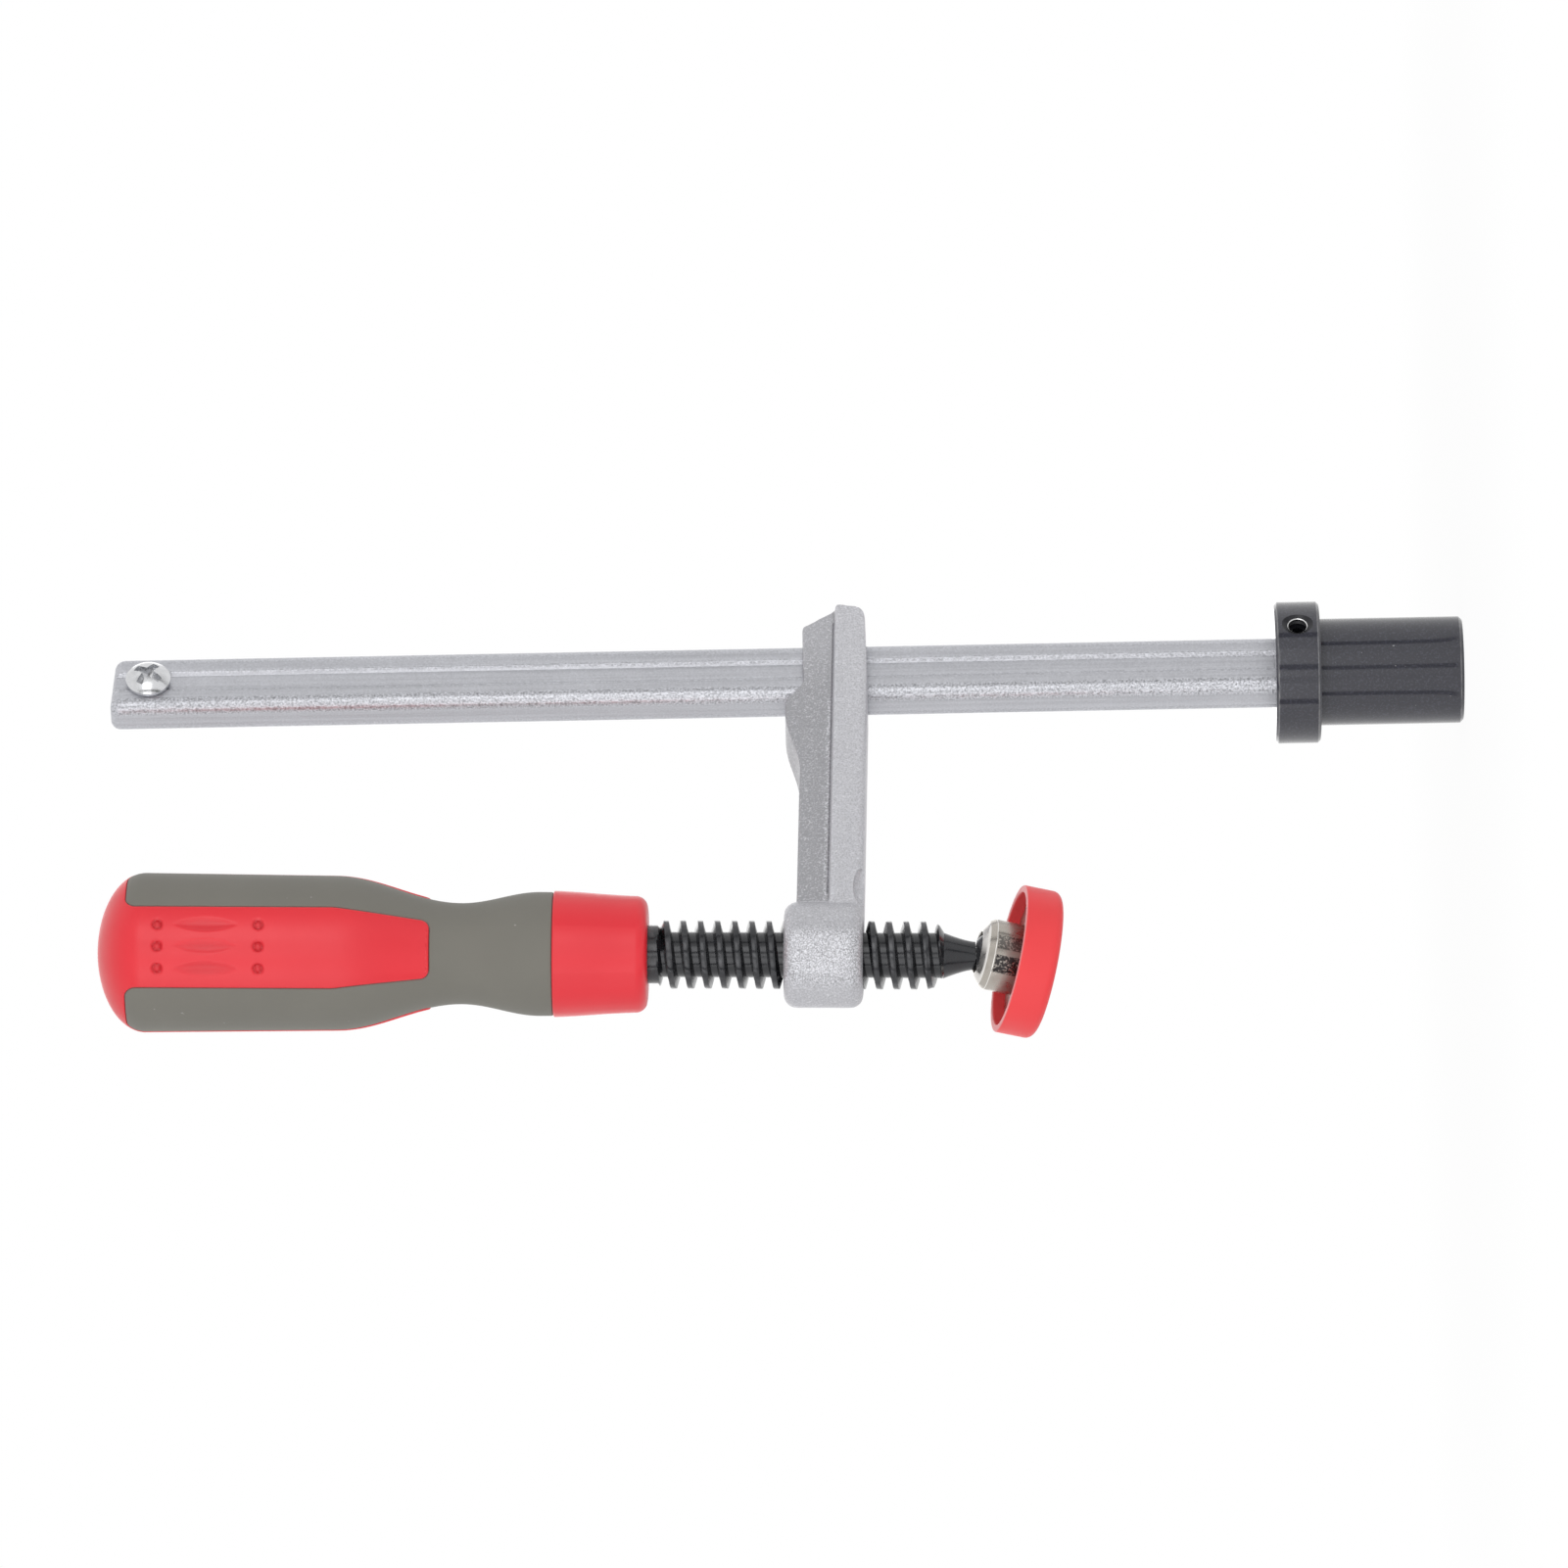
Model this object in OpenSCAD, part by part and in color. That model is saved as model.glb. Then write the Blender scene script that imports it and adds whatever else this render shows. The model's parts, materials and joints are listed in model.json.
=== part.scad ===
// Hold-down clamp for a workbench: a fluted rail on a bench post, a sliding arm and a screw spindle.
// The bench top is the plane z = 0, the post hangs below it and the rail stands up along +Z.
// The spindle stands on the -X side of the rail, and the stop screw is on the -Y face.

/* [Rail] */
// Width of the rail, along the throat
rail_w = 12.6; // [10:0.1:14]
// Thickness of the rail
rail_t = 6.9; // [6:0.1:7.6]
// Radius of the rail's long corners
rail_r = 2.0; // [0.8:0.1:2.2]
// Height of the rail's free end above the bench
rail_top = 215.4; // [180:0.1:320]
// Chamfer round the rail's free end
rail_chamfer = 1.0; // [0.4:0.1:1.5]
// Width of the flute in each wide face
flute_w = 4.4; // [3:0.1:5.5]
// Depth of the flute
flute_depth = 0.6; // [0.3:0.1:0.9]

/* [Stop screw] */
// Distance from the rail's free end to the stop screw
stop_inset = 6.9; // [5.5:0.1:12]
// Diameter of the screw's head
stop_head_d = 8.0; // [6.5:0.1:9]
// Height of the screw's head
stop_head_h = 2.5; // [1.8:0.1:3.5]
// Thread diameter of the stop screw
stop_d = 4.0; // [3:0.1:5]

/* [Bench post] */
// Diameter of the post
post_d = 19.0; // [18:0.1:24]
// Length of the post below the bench top
post_len = 25.5; // [20:0.1:40]
// Diameter of the collar
collar_d = 25.2; // [24:0.1:34]
// Height of the collar
collar_h = 8.0; // [7.5:0.1:14]
// Depth of the rail's foot below the bench top
foot_depth = 10.6; // [6:0.1:16]
// Thread diameter of the set screw
set_screw_d = 4.0; // [3:0.1:5]
// Length of the set screw
set_screw_len = 7.6; // [5:0.1:8]

/* [Arm] */
// Throat, from the rail's inner face to the spindle's axis
throat = 60; // [50:0.5:80]
// Height of the arm's underside above the bench
arm_z = 80.3; // [60:0.1:110]
// Lean of the arm on its rail when it is loose
arm_lean = 1.8; // [0:0.1:2]
// Height of the arm's flange
flange_h = 6.1; // [5:0.1:8]
// Thickness of the arm's flange
flange_t = 14.4; // [13:0.1:20]
// Thickness of the arm's web
web_t = 11.0; // [10.4:0.1:14]
// Thickness of the web at the heel's top
web_top_t = 9.0; // [8.8:0.1:10.4]
// Height of the web at the spindle
web_h = 11.8; // [10:0.1:13]
// Height of the web over the rail's wide faces
crown_h = 11.5; // [10:0.1:12.5]
// Height of the heel behind the rail
heel_h = 14.6; // [13:0.1:17]
// Rise of the arm's underside from the rail to its outer end
end_lift = 0.8; // [0:0.1:1.5]
// Wall between the slot and the arm's outer end
arm_end_wall = 5.7; // [4:0.1:9]
// Wall between the slot and the top of the sloped outer end
crown_wall = 1.7; // [0.6:0.1:3]
// Length of the heel's rise behind the rail
heel_rise = 5.6; // [4:0.1:9]
// Length of the heel's top
heel_len = 1.5; // [1:0.1:10]
// Length of the slope from the heel to the web
heel_slope = 15; // [8:0.1:20]
// Diameter of the boss
boss_d = 18.5; // [17:0.1:22]
// Length of the boss
boss_len = 13.9; // [13:0.1:18]

/* [Spindle] */
// Outer diameter of the spindle's thread
spindle_d = 12; // [10:0.1:13]
// Thread that shows above the boss
thread_above = 23.8; // [15:0.1:40]
// Thread that shows below the boss
thread_below = 13.5; // [10:0.1:25]
// Diameter of the neck's thick end
neck_d = 8.6; // [7:0.1:9.5]
// Diameter of the neck's thin end
neck_end_d = 4.9; // [4:0.1:5]
// Length of the neck
neck_len = 6.1; // [4.5:0.1:9]
// Diameter of the tang inside the handle
tang_d = 8.0; // [6:0.1:9]
// Length of the tang
tang_len = 51; // [35:1:70]

/* [Handle] */
// Length of the handle
handle_len = 96.4; // [90:0.1:120]
// Diameter of the handle's front end
front_d = 20.4; // [18:0.1:23]
// Diameter of the bulge behind the front end
bulge_d = 22.2; // [20:0.1:25]
// Diameter of the waist
waist_d = 18.2; // [17:0.1:21]
// Diameter at the front of the palm swell
palm_front_d = 27.2; // [24:0.1:31]
// Diameter at the rear of the palm swell
palm_d = 28.1; // [25:0.1:32]
// Length of the domed rear end
dome_len = 8.5; // [6:0.1:12]
// Thickness of the soft grip
grip_t = 1.6; // [1:0.1:2.5]
// Depth of the grip's skin below the panels
grip_sink = 0.25; // [0.1:0.05:0.5]
// Length of the bare front section
front_len = 16.5; // [12:0.1:20]
// Distance from the front end to the bulge
bulge_s = 18.8; // [14:0.1:20]
// Distance from the front end to the waist
waist_s = 32.6; // [28:0.1:36]
// Distance from the front end to the panels
panel_s = 38.0; // [37:0.1:44]
// Distance from the front end to the palm swell
palm_s = 54.5; // [52:0.1:64]
// Distance from the rear end to the tips of the grip's fingers
finger_inset = 5.4; // [4:0.1:6]
// Half width of a panel at its front end
panel_front_w = 5.3; // [4.5:0.1:6]
// Half width of a panel over the palm swell
panel_palm_w = 7.2; // [6:0.1:8]
// Distance from the rear end to the middle of the panel's ornament
ornament_inset = 19.4; // [17:0.1:25]
// Length of an almond dimple
dimple_len = 11.4; // [8:0.1:14]
// Distance from the ornament's middle to its dots
dot_reach = 8.8; // [8:0.1:11]
// Distance between neighbouring rows of the ornament
ornament_pitch = 3.9; // [3:0.1:4.5]
// Turn of the handle about the spindle
handle_turn = -38; // [-60:1:60]

/* [Pad] */
// Diameter of the spindle's ball
ball_d = 8.8; // [8.4:0.1:9.4]
// Diameter of the ball socket
socket_d = 12.5; // [12:0.1:15]
// Diameter of the pad's cap
pad_d = 26.2; // [24:0.1:34]
// Depth of the pad's cap
pad_depth = 6.8; // [5.5:0.1:9]
// Thickness of the steel plate in the pad
plate_t = 2.2; // [1.5:0.1:3]
// Thickness of the cap's floor
cap_floor = 2.5; // [1.5:0.1:3]
// Thickness of the cap's wall
cap_wall = 1.3; // [0.9:0.1:2]
// Tilt of the pad on its ball, as shown
pad_tilt = 14.5; // [0:0.5:15.5]
// Turn of the tilt's axis about the spindle
pad_tilt_turn = 8; // [-45:1:45]
// Largest tilt of the pad on its ball
pad_tilt_max = 16; // [15.5:0.5:17]

/* [Hidden] */
$fn = 64;
// Running clearance of a shaft in its hole, on the radius
fit = 0.05;
// Overlap of a cutting shape past the face it cuts
cut = 1;
// Least gap between the arm and the rail
guide_gap = 0.22;
// Steps in a drawn arc and in the handle's long profile
arc_steps = 8;
profile_steps = 28;

// Small edges
edge = 0.4;
post_chamfer = 1.2;
flange_r = 1.2;
boss_r = 1.6;
arm_end_r = 2.0;
// Part of the rail's width that the heel's rise covers
heel_lap = 2.4;

// Arm, in its own frame: the origin is on the rail's axis at the height of the underside
spindle_x = -(throat + rail_w / 2);
slot_top = max(crown_h, heel_h);
lean_room = slot_top / 2 * tan(arm_lean);
slot_w = rail_w + 2 * (guide_gap + lean_room);
slot_t = rail_t + 2 * guide_gap;
arm_end_x = slot_w / 2 + arm_end_wall;
crown_x = slot_w / 2 + crown_wall;
heel_foot_x = -(rail_w / 2 - heel_lap);
heel_x = heel_foot_x - heel_rise;
heel_end_x = heel_x - heel_len;
slope_end_x = heel_end_x - heel_slope;
crown_lift = end_lift / 2;

// Handle stations, measured from its front end
dome_s = handle_len - dome_len;
finger_end_s = handle_len - finger_inset;
ornament_s = handle_len - ornament_inset;
front_r = 1.2;
panel_r = 1.8;
finger_r = 2.8;
// Dots and dimples: their radius, and how far their middles lie from the panel's skin
dot_r = 0.9;
dot_sink = 0.4;
dimple_r = 1.0;
dimple_lift = 0.35;

// Spindle stations, along its axis from the arm's underside
handle_z = boss_len + thread_above;
thread_end_z = -thread_below;
neck_end_z = thread_end_z - neck_len;
ball_gap = 0.2;
ball_shoulder = 0.2;
ball_flat = sqrt(pow(ball_d / 2, 2) - pow(neck_end_d / 2 + ball_shoulder, 2));
ball_z = neck_end_z - ball_gap - ball_flat;
stub_d = 3.0;
stub_reach = 1.0;
stub_len = ball_flat + stub_reach;

// Pad stations, along its axis from the ball's centre; the socket's mouth clears the neck at full tilt
socket_lip = 1.2;
socket_rim_w = 1.4;
plate_lap = 0.1;
mouth_gap = 0.24;
socket_rim_h = ball_d / 2 - socket_lip;
socket_shoulder_h = 0.6;
socket_mouth_r = (neck_end_d / 2 + mouth_gap + socket_rim_h * sin(pad_tilt_max)) / cos(pad_tilt_max);
socket_rim_r = socket_mouth_r + socket_rim_w;
plate_back = -(ball_d / 2 - plate_lap);
plate_front = plate_back - plate_t;
pad_face = plate_front - cap_floor;
cap_edge_r = 1.5;
plate_gap = 0.1;

// Stop screw and set screw
stop_z = rail_top - stop_inset;
face_y = rail_t / 2;
stop_end_y = face_y - edge;
flute_floor_y = face_y - flute_depth;
set_screw_z = collar_h / 2;
countersink = 0.6;
set_tip_d = 2.4;
set_tip_len = (set_screw_d - 2 * fit - set_tip_d) / 2;
hex_d = 2.3;
hex_depth = 2;
stop_rim_h = 0.9;
recess_w = 1.3;
recess_len = 4.4;
recess_turn = 20;

// Points of an arc about a centre
function arc(centre, r, from, to) =
    [for (i = [0:arc_steps]) centre + r * [cos(from + (to - from) * i / arc_steps),
                                           sin(from + (to - from) * i / arc_steps)]];

// Value that eases from a to b while t goes from 0 to 1
function ease(a, b, t) = a + (b - a) * (1 - cos(180 * t)) / 2;

// Points of an eased step between two points
function eased_step(from, to) =
    [for (i = [0:arc_steps]) [from.x + (to.x - from.x) * i / arc_steps, ease(from.y, to.y, i / arc_steps)]];

// Radius of the handle at a distance from its front end
function handle_radius(s) =
    s < bulge_s ? ease(front_d, bulge_d, s / bulge_s) / 2 :
    s < waist_s ? ease(bulge_d, waist_d, (s - bulge_s) / (waist_s - bulge_s)) / 2 :
    s < palm_s ? ease(waist_d, palm_front_d, (s - waist_s) / (palm_s - waist_s)) / 2 :
    s < dome_s ? (palm_front_d + (palm_d - palm_front_d) * (s - palm_s) / (dome_s - palm_s)) / 2 :
    palm_d / 2 * sqrt(max(0, 1 - pow((s - dome_s) / dome_len, 2)));

// Points along the handle's skin, sunk by a depth
function handle_skin(from, to, sink) =
    [for (i = [0:profile_steps]) let (s = from + (to - from) * i / profile_steps)
        [handle_radius(s) - sink, s]];

// Points round the domed end, spaced evenly in angle
function handle_dome() =
    [for (i = [1:arc_steps]) let (turn = 90 * i / arc_steps)
        [palm_d / 2 * cos(turn), dome_s + dome_len * sin(turn)]];

// Rectangle with rounded corners, about its centre
module rounded_rect(w, h, r) {
    square([w - 2 * r, h], center = true);
    square([w, h - 2 * r], center = true);
    for (x = [-1, 1], y = [-1, 1]) {
        translate([x * (w / 2 - r), y * (h / 2 - r)]) circle(r);
    }
}

// Extrusion across the rail's thickness of an outline drawn in X and Z
module across(thickness) {
    translate([0, thickness / 2, 0]) rotate([90, 0, 0]) linear_extrude(thickness) children();
}

// Places a piece in the frame of the leaning arm
module on_arm() {
    pivot = slot_top / 2;
    translate([0, 0, arm_z + pivot]) rotate([0, arm_lean, 0]) translate([0, 0, -pivot]) children();
}

// Places a piece on the spindle's axis
module on_spindle() {
    on_arm() translate([spindle_x, 0, 0]) children();
}

// Places a piece on the tilted pad, about the ball's centre
module on_pad() {
    on_spindle() translate([0, 0, ball_z]) rotate([0, 0, pad_tilt_turn]) rotate([pad_tilt, 0, 0]) children();
}

// Section of the rail, with a flute in each wide face
module rail_section() {
    flute_slope = flute_depth;
    difference() {
        rounded_rect(rail_w, rail_t, rail_r);
        for (turn = [0, 180]) {
            rotate(turn) polygon([[-flute_w / 2, face_y], [-flute_w / 2 + flute_slope, flute_floor_y],
                                  [flute_w / 2 - flute_slope, flute_floor_y], [flute_w / 2, face_y],
                                  [flute_w / 2, face_y + cut], [-flute_w / 2, face_y + cut]]);
        }
    }
}

// Outline of the rail's length with a chamfered free end
module chamfered_length(w) {
    polygon([[-w / 2, -foot_depth], [w / 2, -foot_depth], [w / 2, rail_top - rail_chamfer],
             [w / 2 - rail_chamfer, rail_top], [-w / 2 + rail_chamfer, rail_top],
             [-w / 2, rail_top - rail_chamfer]]);
}

module rail() {
    color("silver")
    difference() {
        intersection() {
            translate([0, 0, -foot_depth]) linear_extrude(foot_depth + rail_top) rail_section();
            across(rail_t) chamfered_length(rail_w);
            rotate([0, 0, 90]) across(rail_w) chamfered_length(rail_t);
        }
        translate([0, 0, stop_z]) rotate([90, 0, 0]) cylinder(d = stop_d, h = 2 * rail_t, center = true);
    }
}

// Pan head: a low dome over a short rim
module stop_screw() {
    crown = stop_head_h - stop_rim_h;
    dome_r = (pow(stop_head_d / 2, 2) + crown * crown) / (2 * crown);
    color("gainsboro")
    translate([0, -face_y, stop_z]) rotate([90, 0, 0]) difference() {
        union() {
            cylinder(d = stop_head_d, h = stop_rim_h);
            intersection() {
                translate([0, 0, stop_rim_h]) cylinder(d = stop_head_d, h = crown);
                translate([0, 0, stop_head_h - dome_r]) sphere(dome_r, $fn = 96);
            }
            translate([0, 0, -face_y - stop_end_y]) cylinder(d = stop_d - 2 * fit, h = face_y + stop_end_y);
        }
        for (arm = [[recess_len, recess_w], [recess_w, recess_len]]) {
            rotate([0, 0, recess_turn]) translate([0, 0, stop_head_h])
                cube([arm.x, arm.y, crown * 2], center = true);
        }
    }
}

module bench_post() {
    color("dimgray")
    difference() {
        rotate_extrude() polygon([
            [0, -post_len], [post_d / 2 - post_chamfer, -post_len], [post_d / 2, -post_len + post_chamfer],
            [post_d / 2, 0], [collar_d / 2 - edge, 0], [collar_d / 2, edge], [collar_d / 2, collar_h - edge],
            [collar_d / 2 - edge, collar_h], [0, collar_h]]);
        translate([0, 0, -foot_depth]) linear_extrude(foot_depth + collar_h + cut)
            rounded_rect(rail_w + 2 * fit, rail_t + 2 * fit, rail_r + fit);
        translate([0, 0, set_screw_z]) rotate([90, 0, 0]) cylinder(d = set_screw_d, h = collar_d);
        translate([0, -collar_d / 2 + countersink, set_screw_z]) rotate([90, 0, 0])
            cylinder(d1 = set_screw_d, d2 = set_screw_d + 2 * (countersink + cut), h = countersink + cut);
    }
}

module post_set_screw() {
    screw_d = set_screw_d - 2 * fit;
    color("black")
    translate([0, -flute_floor_y, set_screw_z]) rotate([90, 0, 0]) difference() {
        union() {
            cylinder(d1 = set_tip_d, d2 = screw_d, h = set_tip_len);
            translate([0, 0, set_tip_len]) cylinder(d = screw_d, h = set_screw_len - set_tip_len);
        }
        translate([0, 0, set_screw_len - hex_depth]) cylinder(d = hex_d, h = hex_depth + cut, $fn = 6);
    }
}

// Side view of the arm, in X and Z: outer end, crown over the rail, heel behind it and slope to the boss
module arm_outline() {
    polygon(concat(
        [[spindle_x, 0], [-rail_w / 2, 0]],
        arc([arm_end_x - arm_end_r, end_lift + arm_end_r], arm_end_r, -90, 0),
        [[arm_end_x, flange_h], [crown_x, crown_h + crown_lift]],
        eased_step([heel_foot_x, crown_h], [heel_x, heel_h]),
        eased_step([heel_end_x, heel_h], [slope_end_x, web_h]),
        [[spindle_x, web_h]]));
}

// Section of the arm, in Y and Z: a flange at the pad's side and a web that narrows above it
module arm_section() {
    translate([0, flange_h / 2]) rounded_rect(flange_t, flange_h, flange_r);
    polygon([[-web_t / 2, flange_r], [web_t / 2, flange_r], [web_t / 2, flange_h],
             [web_top_t / 2, slot_top], [-web_top_t / 2, slot_top], [-web_t / 2, flange_h]]);
}

module arm_boss() {
    rotate_extrude() {
        square([boss_d / 2 - boss_r, boss_len]);
        translate([0, boss_r]) square([boss_d / 2, boss_len - 2 * boss_r]);
        for (z = [boss_r, boss_len - boss_r]) {
            translate([boss_d / 2 - boss_r, z]) circle(boss_r);
        }
    }
}

module sliding_arm() {
    arm_len = arm_end_x - spindle_x;
    color("lightgray")
    on_arm() difference() {
        union() {
            intersection() {
                across(flange_t) arm_outline();
                translate([spindle_x, 0, 0]) rotate([90, 0, 90]) linear_extrude(arm_len) arm_section();
            }
            translate([spindle_x, 0, 0]) arm_boss();
        }
        translate([0, 0, slot_top / 2]) cube([slot_w, slot_t, slot_top + 2 * cut], center = true);
        translate([spindle_x, 0, -cut]) cylinder(d = spindle_d + 2 * fit, h = slot_top + boss_len);
    }
}

// Turned spindle: tang, threaded length at its outer diameter, hollow neck and the stub for the ball
module spindle() {
    neck_drop = (neck_d - neck_end_d) / 2;
    neck_points = [for (i = [0:arc_steps])
        [neck_end_d / 2 + neck_drop * pow(1 - i / arc_steps, 2), thread_end_z - neck_len * i / arc_steps]];
    thread_lead_in = (spindle_d - neck_d) / 2;
    color("#33353a")
    on_spindle() rotate_extrude() polygon(concat(
        [[0, handle_z + tang_len], [tang_d / 2, handle_z + tang_len], [tang_d / 2, handle_z],
         [spindle_d / 2, handle_z], [spindle_d / 2, thread_end_z + thread_lead_in / 2]],
        neck_points,
        [[stub_d / 2, neck_end_z], [stub_d / 2, neck_end_z - ball_gap - stub_len],
         [0, neck_end_z - ball_gap - stub_len]]));
}

module spindle_ball() {
    color("#33353a")
    on_spindle() translate([0, 0, ball_z]) difference() {
        sphere(d = ball_d);
        translate([0, 0, ball_flat]) cylinder(d = ball_d, h = ball_d);
        translate([0, 0, ball_flat - stub_len - ball_gap]) cylinder(d = stub_d + 2 * fit, h = ball_d);
    }
}

// Outline of a panel seen square on, tangent across and length upwards; it flares round the fingers' ends
module panel_outline() {
    flare_w = panel_palm_w + finger_r;
    flare_s = finger_end_s - finger_r;
    polygon(concat(
        arc([panel_front_w - panel_r, panel_s + panel_r], panel_r, -90, 0),
        [[panel_palm_w, palm_s]],
        arc([flare_w, flare_s], finger_r, 180, 90),
        [[flare_w, handle_len + cut], [-flare_w, handle_len + cut]],
        arc([-flare_w, flare_s], finger_r, 90, 0),
        [[-panel_palm_w, palm_s]],
        arc([-panel_front_w + panel_r, panel_s + panel_r], panel_r, 180, 270)));
}

// The three panels, drawn outwards from the axis
module panels() {
    for (turn = [0:120:240]) {
        rotate([0, 0, turn]) rotate([90, 0, 0]) linear_extrude(palm_d) panel_outline();
    }
}

// Layer of the soft grip between the core's recess and its own skin
module grip_layer(sink) {
    rotate_extrude() polygon(concat(
        handle_skin(front_len, finger_end_s, grip_t),
        [for (i = [profile_steps:-1:0]) handle_skin(front_len, finger_end_s, sink)[i]]));
}

// Almond shape: a lens turned about its long axis
module almond() {
    arc_r = (pow(dimple_len / 2, 2) + dimple_r * dimple_r) / (2 * dimple_r);
    rotate_extrude() intersection() {
        translate([dimple_r - arc_r, 0]) circle(arc_r, $fn = 128);
        translate([0, -dimple_len / 2]) square([dimple_r, dimple_len]);
    }
}

// Places an ornament on each row of each panel, a reach from the middle and a height above the skin
module on_panel_rows(reach, lift) {
    skin_r = handle_radius(ornament_s + reach);
    for (turn = [0:120:240], row = [-1:1]) {
        rotate([0, 0, turn + asin(row * ornament_pitch / skin_r)])
            translate([0, -skin_r - lift, ornament_s + reach]) children();
    }
}

module on_handle() {
    on_spindle() translate([0, 0, handle_z]) rotate([0, 0, handle_turn]) children();
}

module handle_core() {
    bore_d = tang_d + 2 * fit;
    color("#e8464f")
    on_handle() difference() {
        union() {
            rotate_extrude() polygon(concat(
                [[0, 0]],
                arc([front_d / 2 - front_r, front_r], front_r, -90, 0),
                [for (i = [1:profile_steps]) handle_skin(0, dome_s, 0)[i]],
                handle_dome()));
            for (reach = [-dot_reach, dot_reach]) {
                on_panel_rows(reach, -dot_sink) sphere(dot_r);
            }
        }
        on_panel_rows(0, dimple_lift) almond();
        difference() {
            grip_layer(-cut);
            panels();
        }
        translate([0, 0, -cut]) cylinder(d = bore_d, h = tang_len + 2 * cut);
    }
}

module handle_grip() {
    color("#7c7a72")
    on_handle() difference() {
        grip_layer(grip_sink);
        panels();
    }
}

// Steel plate with its socket, closed over the ball's widest part
module pad_plate() {
    plate_r = pad_d / 2 - cap_wall - plate_gap;
    color("#aaa096")
    on_pad() difference() {
        rotate_extrude() polygon([
            [0, plate_front], [plate_r, plate_front], [plate_r, plate_back], [socket_d / 2, plate_back],
            [socket_d / 2, socket_shoulder_h], [socket_rim_r, socket_rim_h], [0, socket_rim_h]]);
        sphere(d = ball_d + 2 * fit);
        cylinder(r = socket_mouth_r, h = ball_d);
    }
}

module pad_cap() {
    color("#e8464f")
    on_pad() rotate_extrude() difference() {
        union() {
            translate([0, pad_face]) square([pad_d / 2 - cap_edge_r, pad_depth]);
            translate([0, pad_face + cap_edge_r]) square([pad_d / 2, pad_depth - cap_edge_r]);
            translate([pad_d / 2 - cap_edge_r, pad_face + cap_edge_r]) circle(cap_edge_r);
        }
        translate([0, plate_front]) square([pad_d / 2 - cap_wall, pad_depth]);
        translate([-pad_d, pad_face - cut]) square([pad_d, pad_depth + 2 * cut]);
    }
}

rail();
stop_screw();
bench_post();
post_set_screw();
sliding_arm();
spindle();
spindle_ball();
handle_core();
handle_grip();
pad_plate();
pad_cap();
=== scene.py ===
"""Dresses the packed hold-down clamp: its pieces, finishes, light and camera, laid out as an add-on."""
import json
import math

import bpy
from bpy.props import FloatProperty, FloatVectorProperty, IntProperty, PointerProperty
from bpy.types import Operator, Panel, PropertyGroup
from mathutils import Matrix, Vector


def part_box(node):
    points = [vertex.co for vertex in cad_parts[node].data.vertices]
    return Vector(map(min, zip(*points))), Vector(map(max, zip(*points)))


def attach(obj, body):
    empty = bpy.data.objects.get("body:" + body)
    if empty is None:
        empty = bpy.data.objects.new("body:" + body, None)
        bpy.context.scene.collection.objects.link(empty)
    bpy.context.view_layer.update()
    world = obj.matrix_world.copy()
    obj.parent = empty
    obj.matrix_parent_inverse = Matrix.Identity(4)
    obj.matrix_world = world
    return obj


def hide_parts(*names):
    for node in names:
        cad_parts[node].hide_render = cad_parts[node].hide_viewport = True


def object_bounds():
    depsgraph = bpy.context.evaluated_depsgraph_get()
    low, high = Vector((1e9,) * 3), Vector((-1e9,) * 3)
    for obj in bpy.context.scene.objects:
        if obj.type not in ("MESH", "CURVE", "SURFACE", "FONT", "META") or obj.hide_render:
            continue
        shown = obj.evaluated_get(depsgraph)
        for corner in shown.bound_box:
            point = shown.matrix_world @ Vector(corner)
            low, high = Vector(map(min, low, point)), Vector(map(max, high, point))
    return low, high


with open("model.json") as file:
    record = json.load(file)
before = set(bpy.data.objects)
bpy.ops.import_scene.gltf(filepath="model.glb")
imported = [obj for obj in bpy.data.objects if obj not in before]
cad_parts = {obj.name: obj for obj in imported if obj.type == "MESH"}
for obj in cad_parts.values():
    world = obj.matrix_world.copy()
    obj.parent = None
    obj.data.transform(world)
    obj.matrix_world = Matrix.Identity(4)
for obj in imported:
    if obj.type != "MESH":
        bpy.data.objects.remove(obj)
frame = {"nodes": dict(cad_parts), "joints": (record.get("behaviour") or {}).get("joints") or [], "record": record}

bl_info = {
    "name": "Hold-down clamp",
    "version": (1, 0, 0),
    "blender": (4, 5, 0),
    "location": "3D View > Sidebar > Clamp",
    "description": "Builds the pieces, finishes and stage of a bench hold-down clamp on its packed solids",
    "category": "Add Mesh",
}

MM = 0.001
CAD_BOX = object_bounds()
JOINTS = {joint["name"]: joint for joint in frame["joints"]}
MOUNTS = {mount["name"]: mount for mount in frame["record"]["mounts"]}
CLEARANCE = 0.05 * MM
TINY = 1e-7

# Parts of the handle: its panels, and the distances from an edge at which a rounded edge has its points
PANELS = 3
SECTOR = 2 * math.pi / PANELS
PANEL_FOOT = 0.02 * MM
PANEL_LIP = [depth * MM for depth in (0.0, 0.04, 0.1, 0.18, 0.27, 0.4)]
GRIP_LIP = [depth * MM for depth in (0.0, 0.03, 0.08, 0.16, 0.26, 0.4, 0.7)]

# Place of the groove beside the arm's web: outwards from the web's side and up from the flange
GROOVE_OUT, GROOVE_UP = 0.25 * MM, 0.2 * MM

# Painted dark reflections in bands on the pad's socket: from and to in degrees about the socket, and strength
REFLECTION_BANDS = ((13, 38, 0.75), (-26, 3, 1.0))

# Softboxes: turn from the camera's side in degrees, width in metres and share of the set level
SOFTBOXES = {"softbox_lower": (38, 0.95, 0.8), "softbox_upper": (-16, 1.05, 1.0), "softbox_back": (180, 1.4, 0.5)}

# Black cards: turns from the camera's side and width in degrees, inner end, height off the floor, and outer end as a
# share of the softboxes' distance
CARD_TURNS = (48.4, -8.4, -63.2)
CARD_SPREAD, CARD_START, CARD_LIFT, CARD_REACH = 9, 30 * MM, 0.2 * MM, 0.92


# Placement

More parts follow.
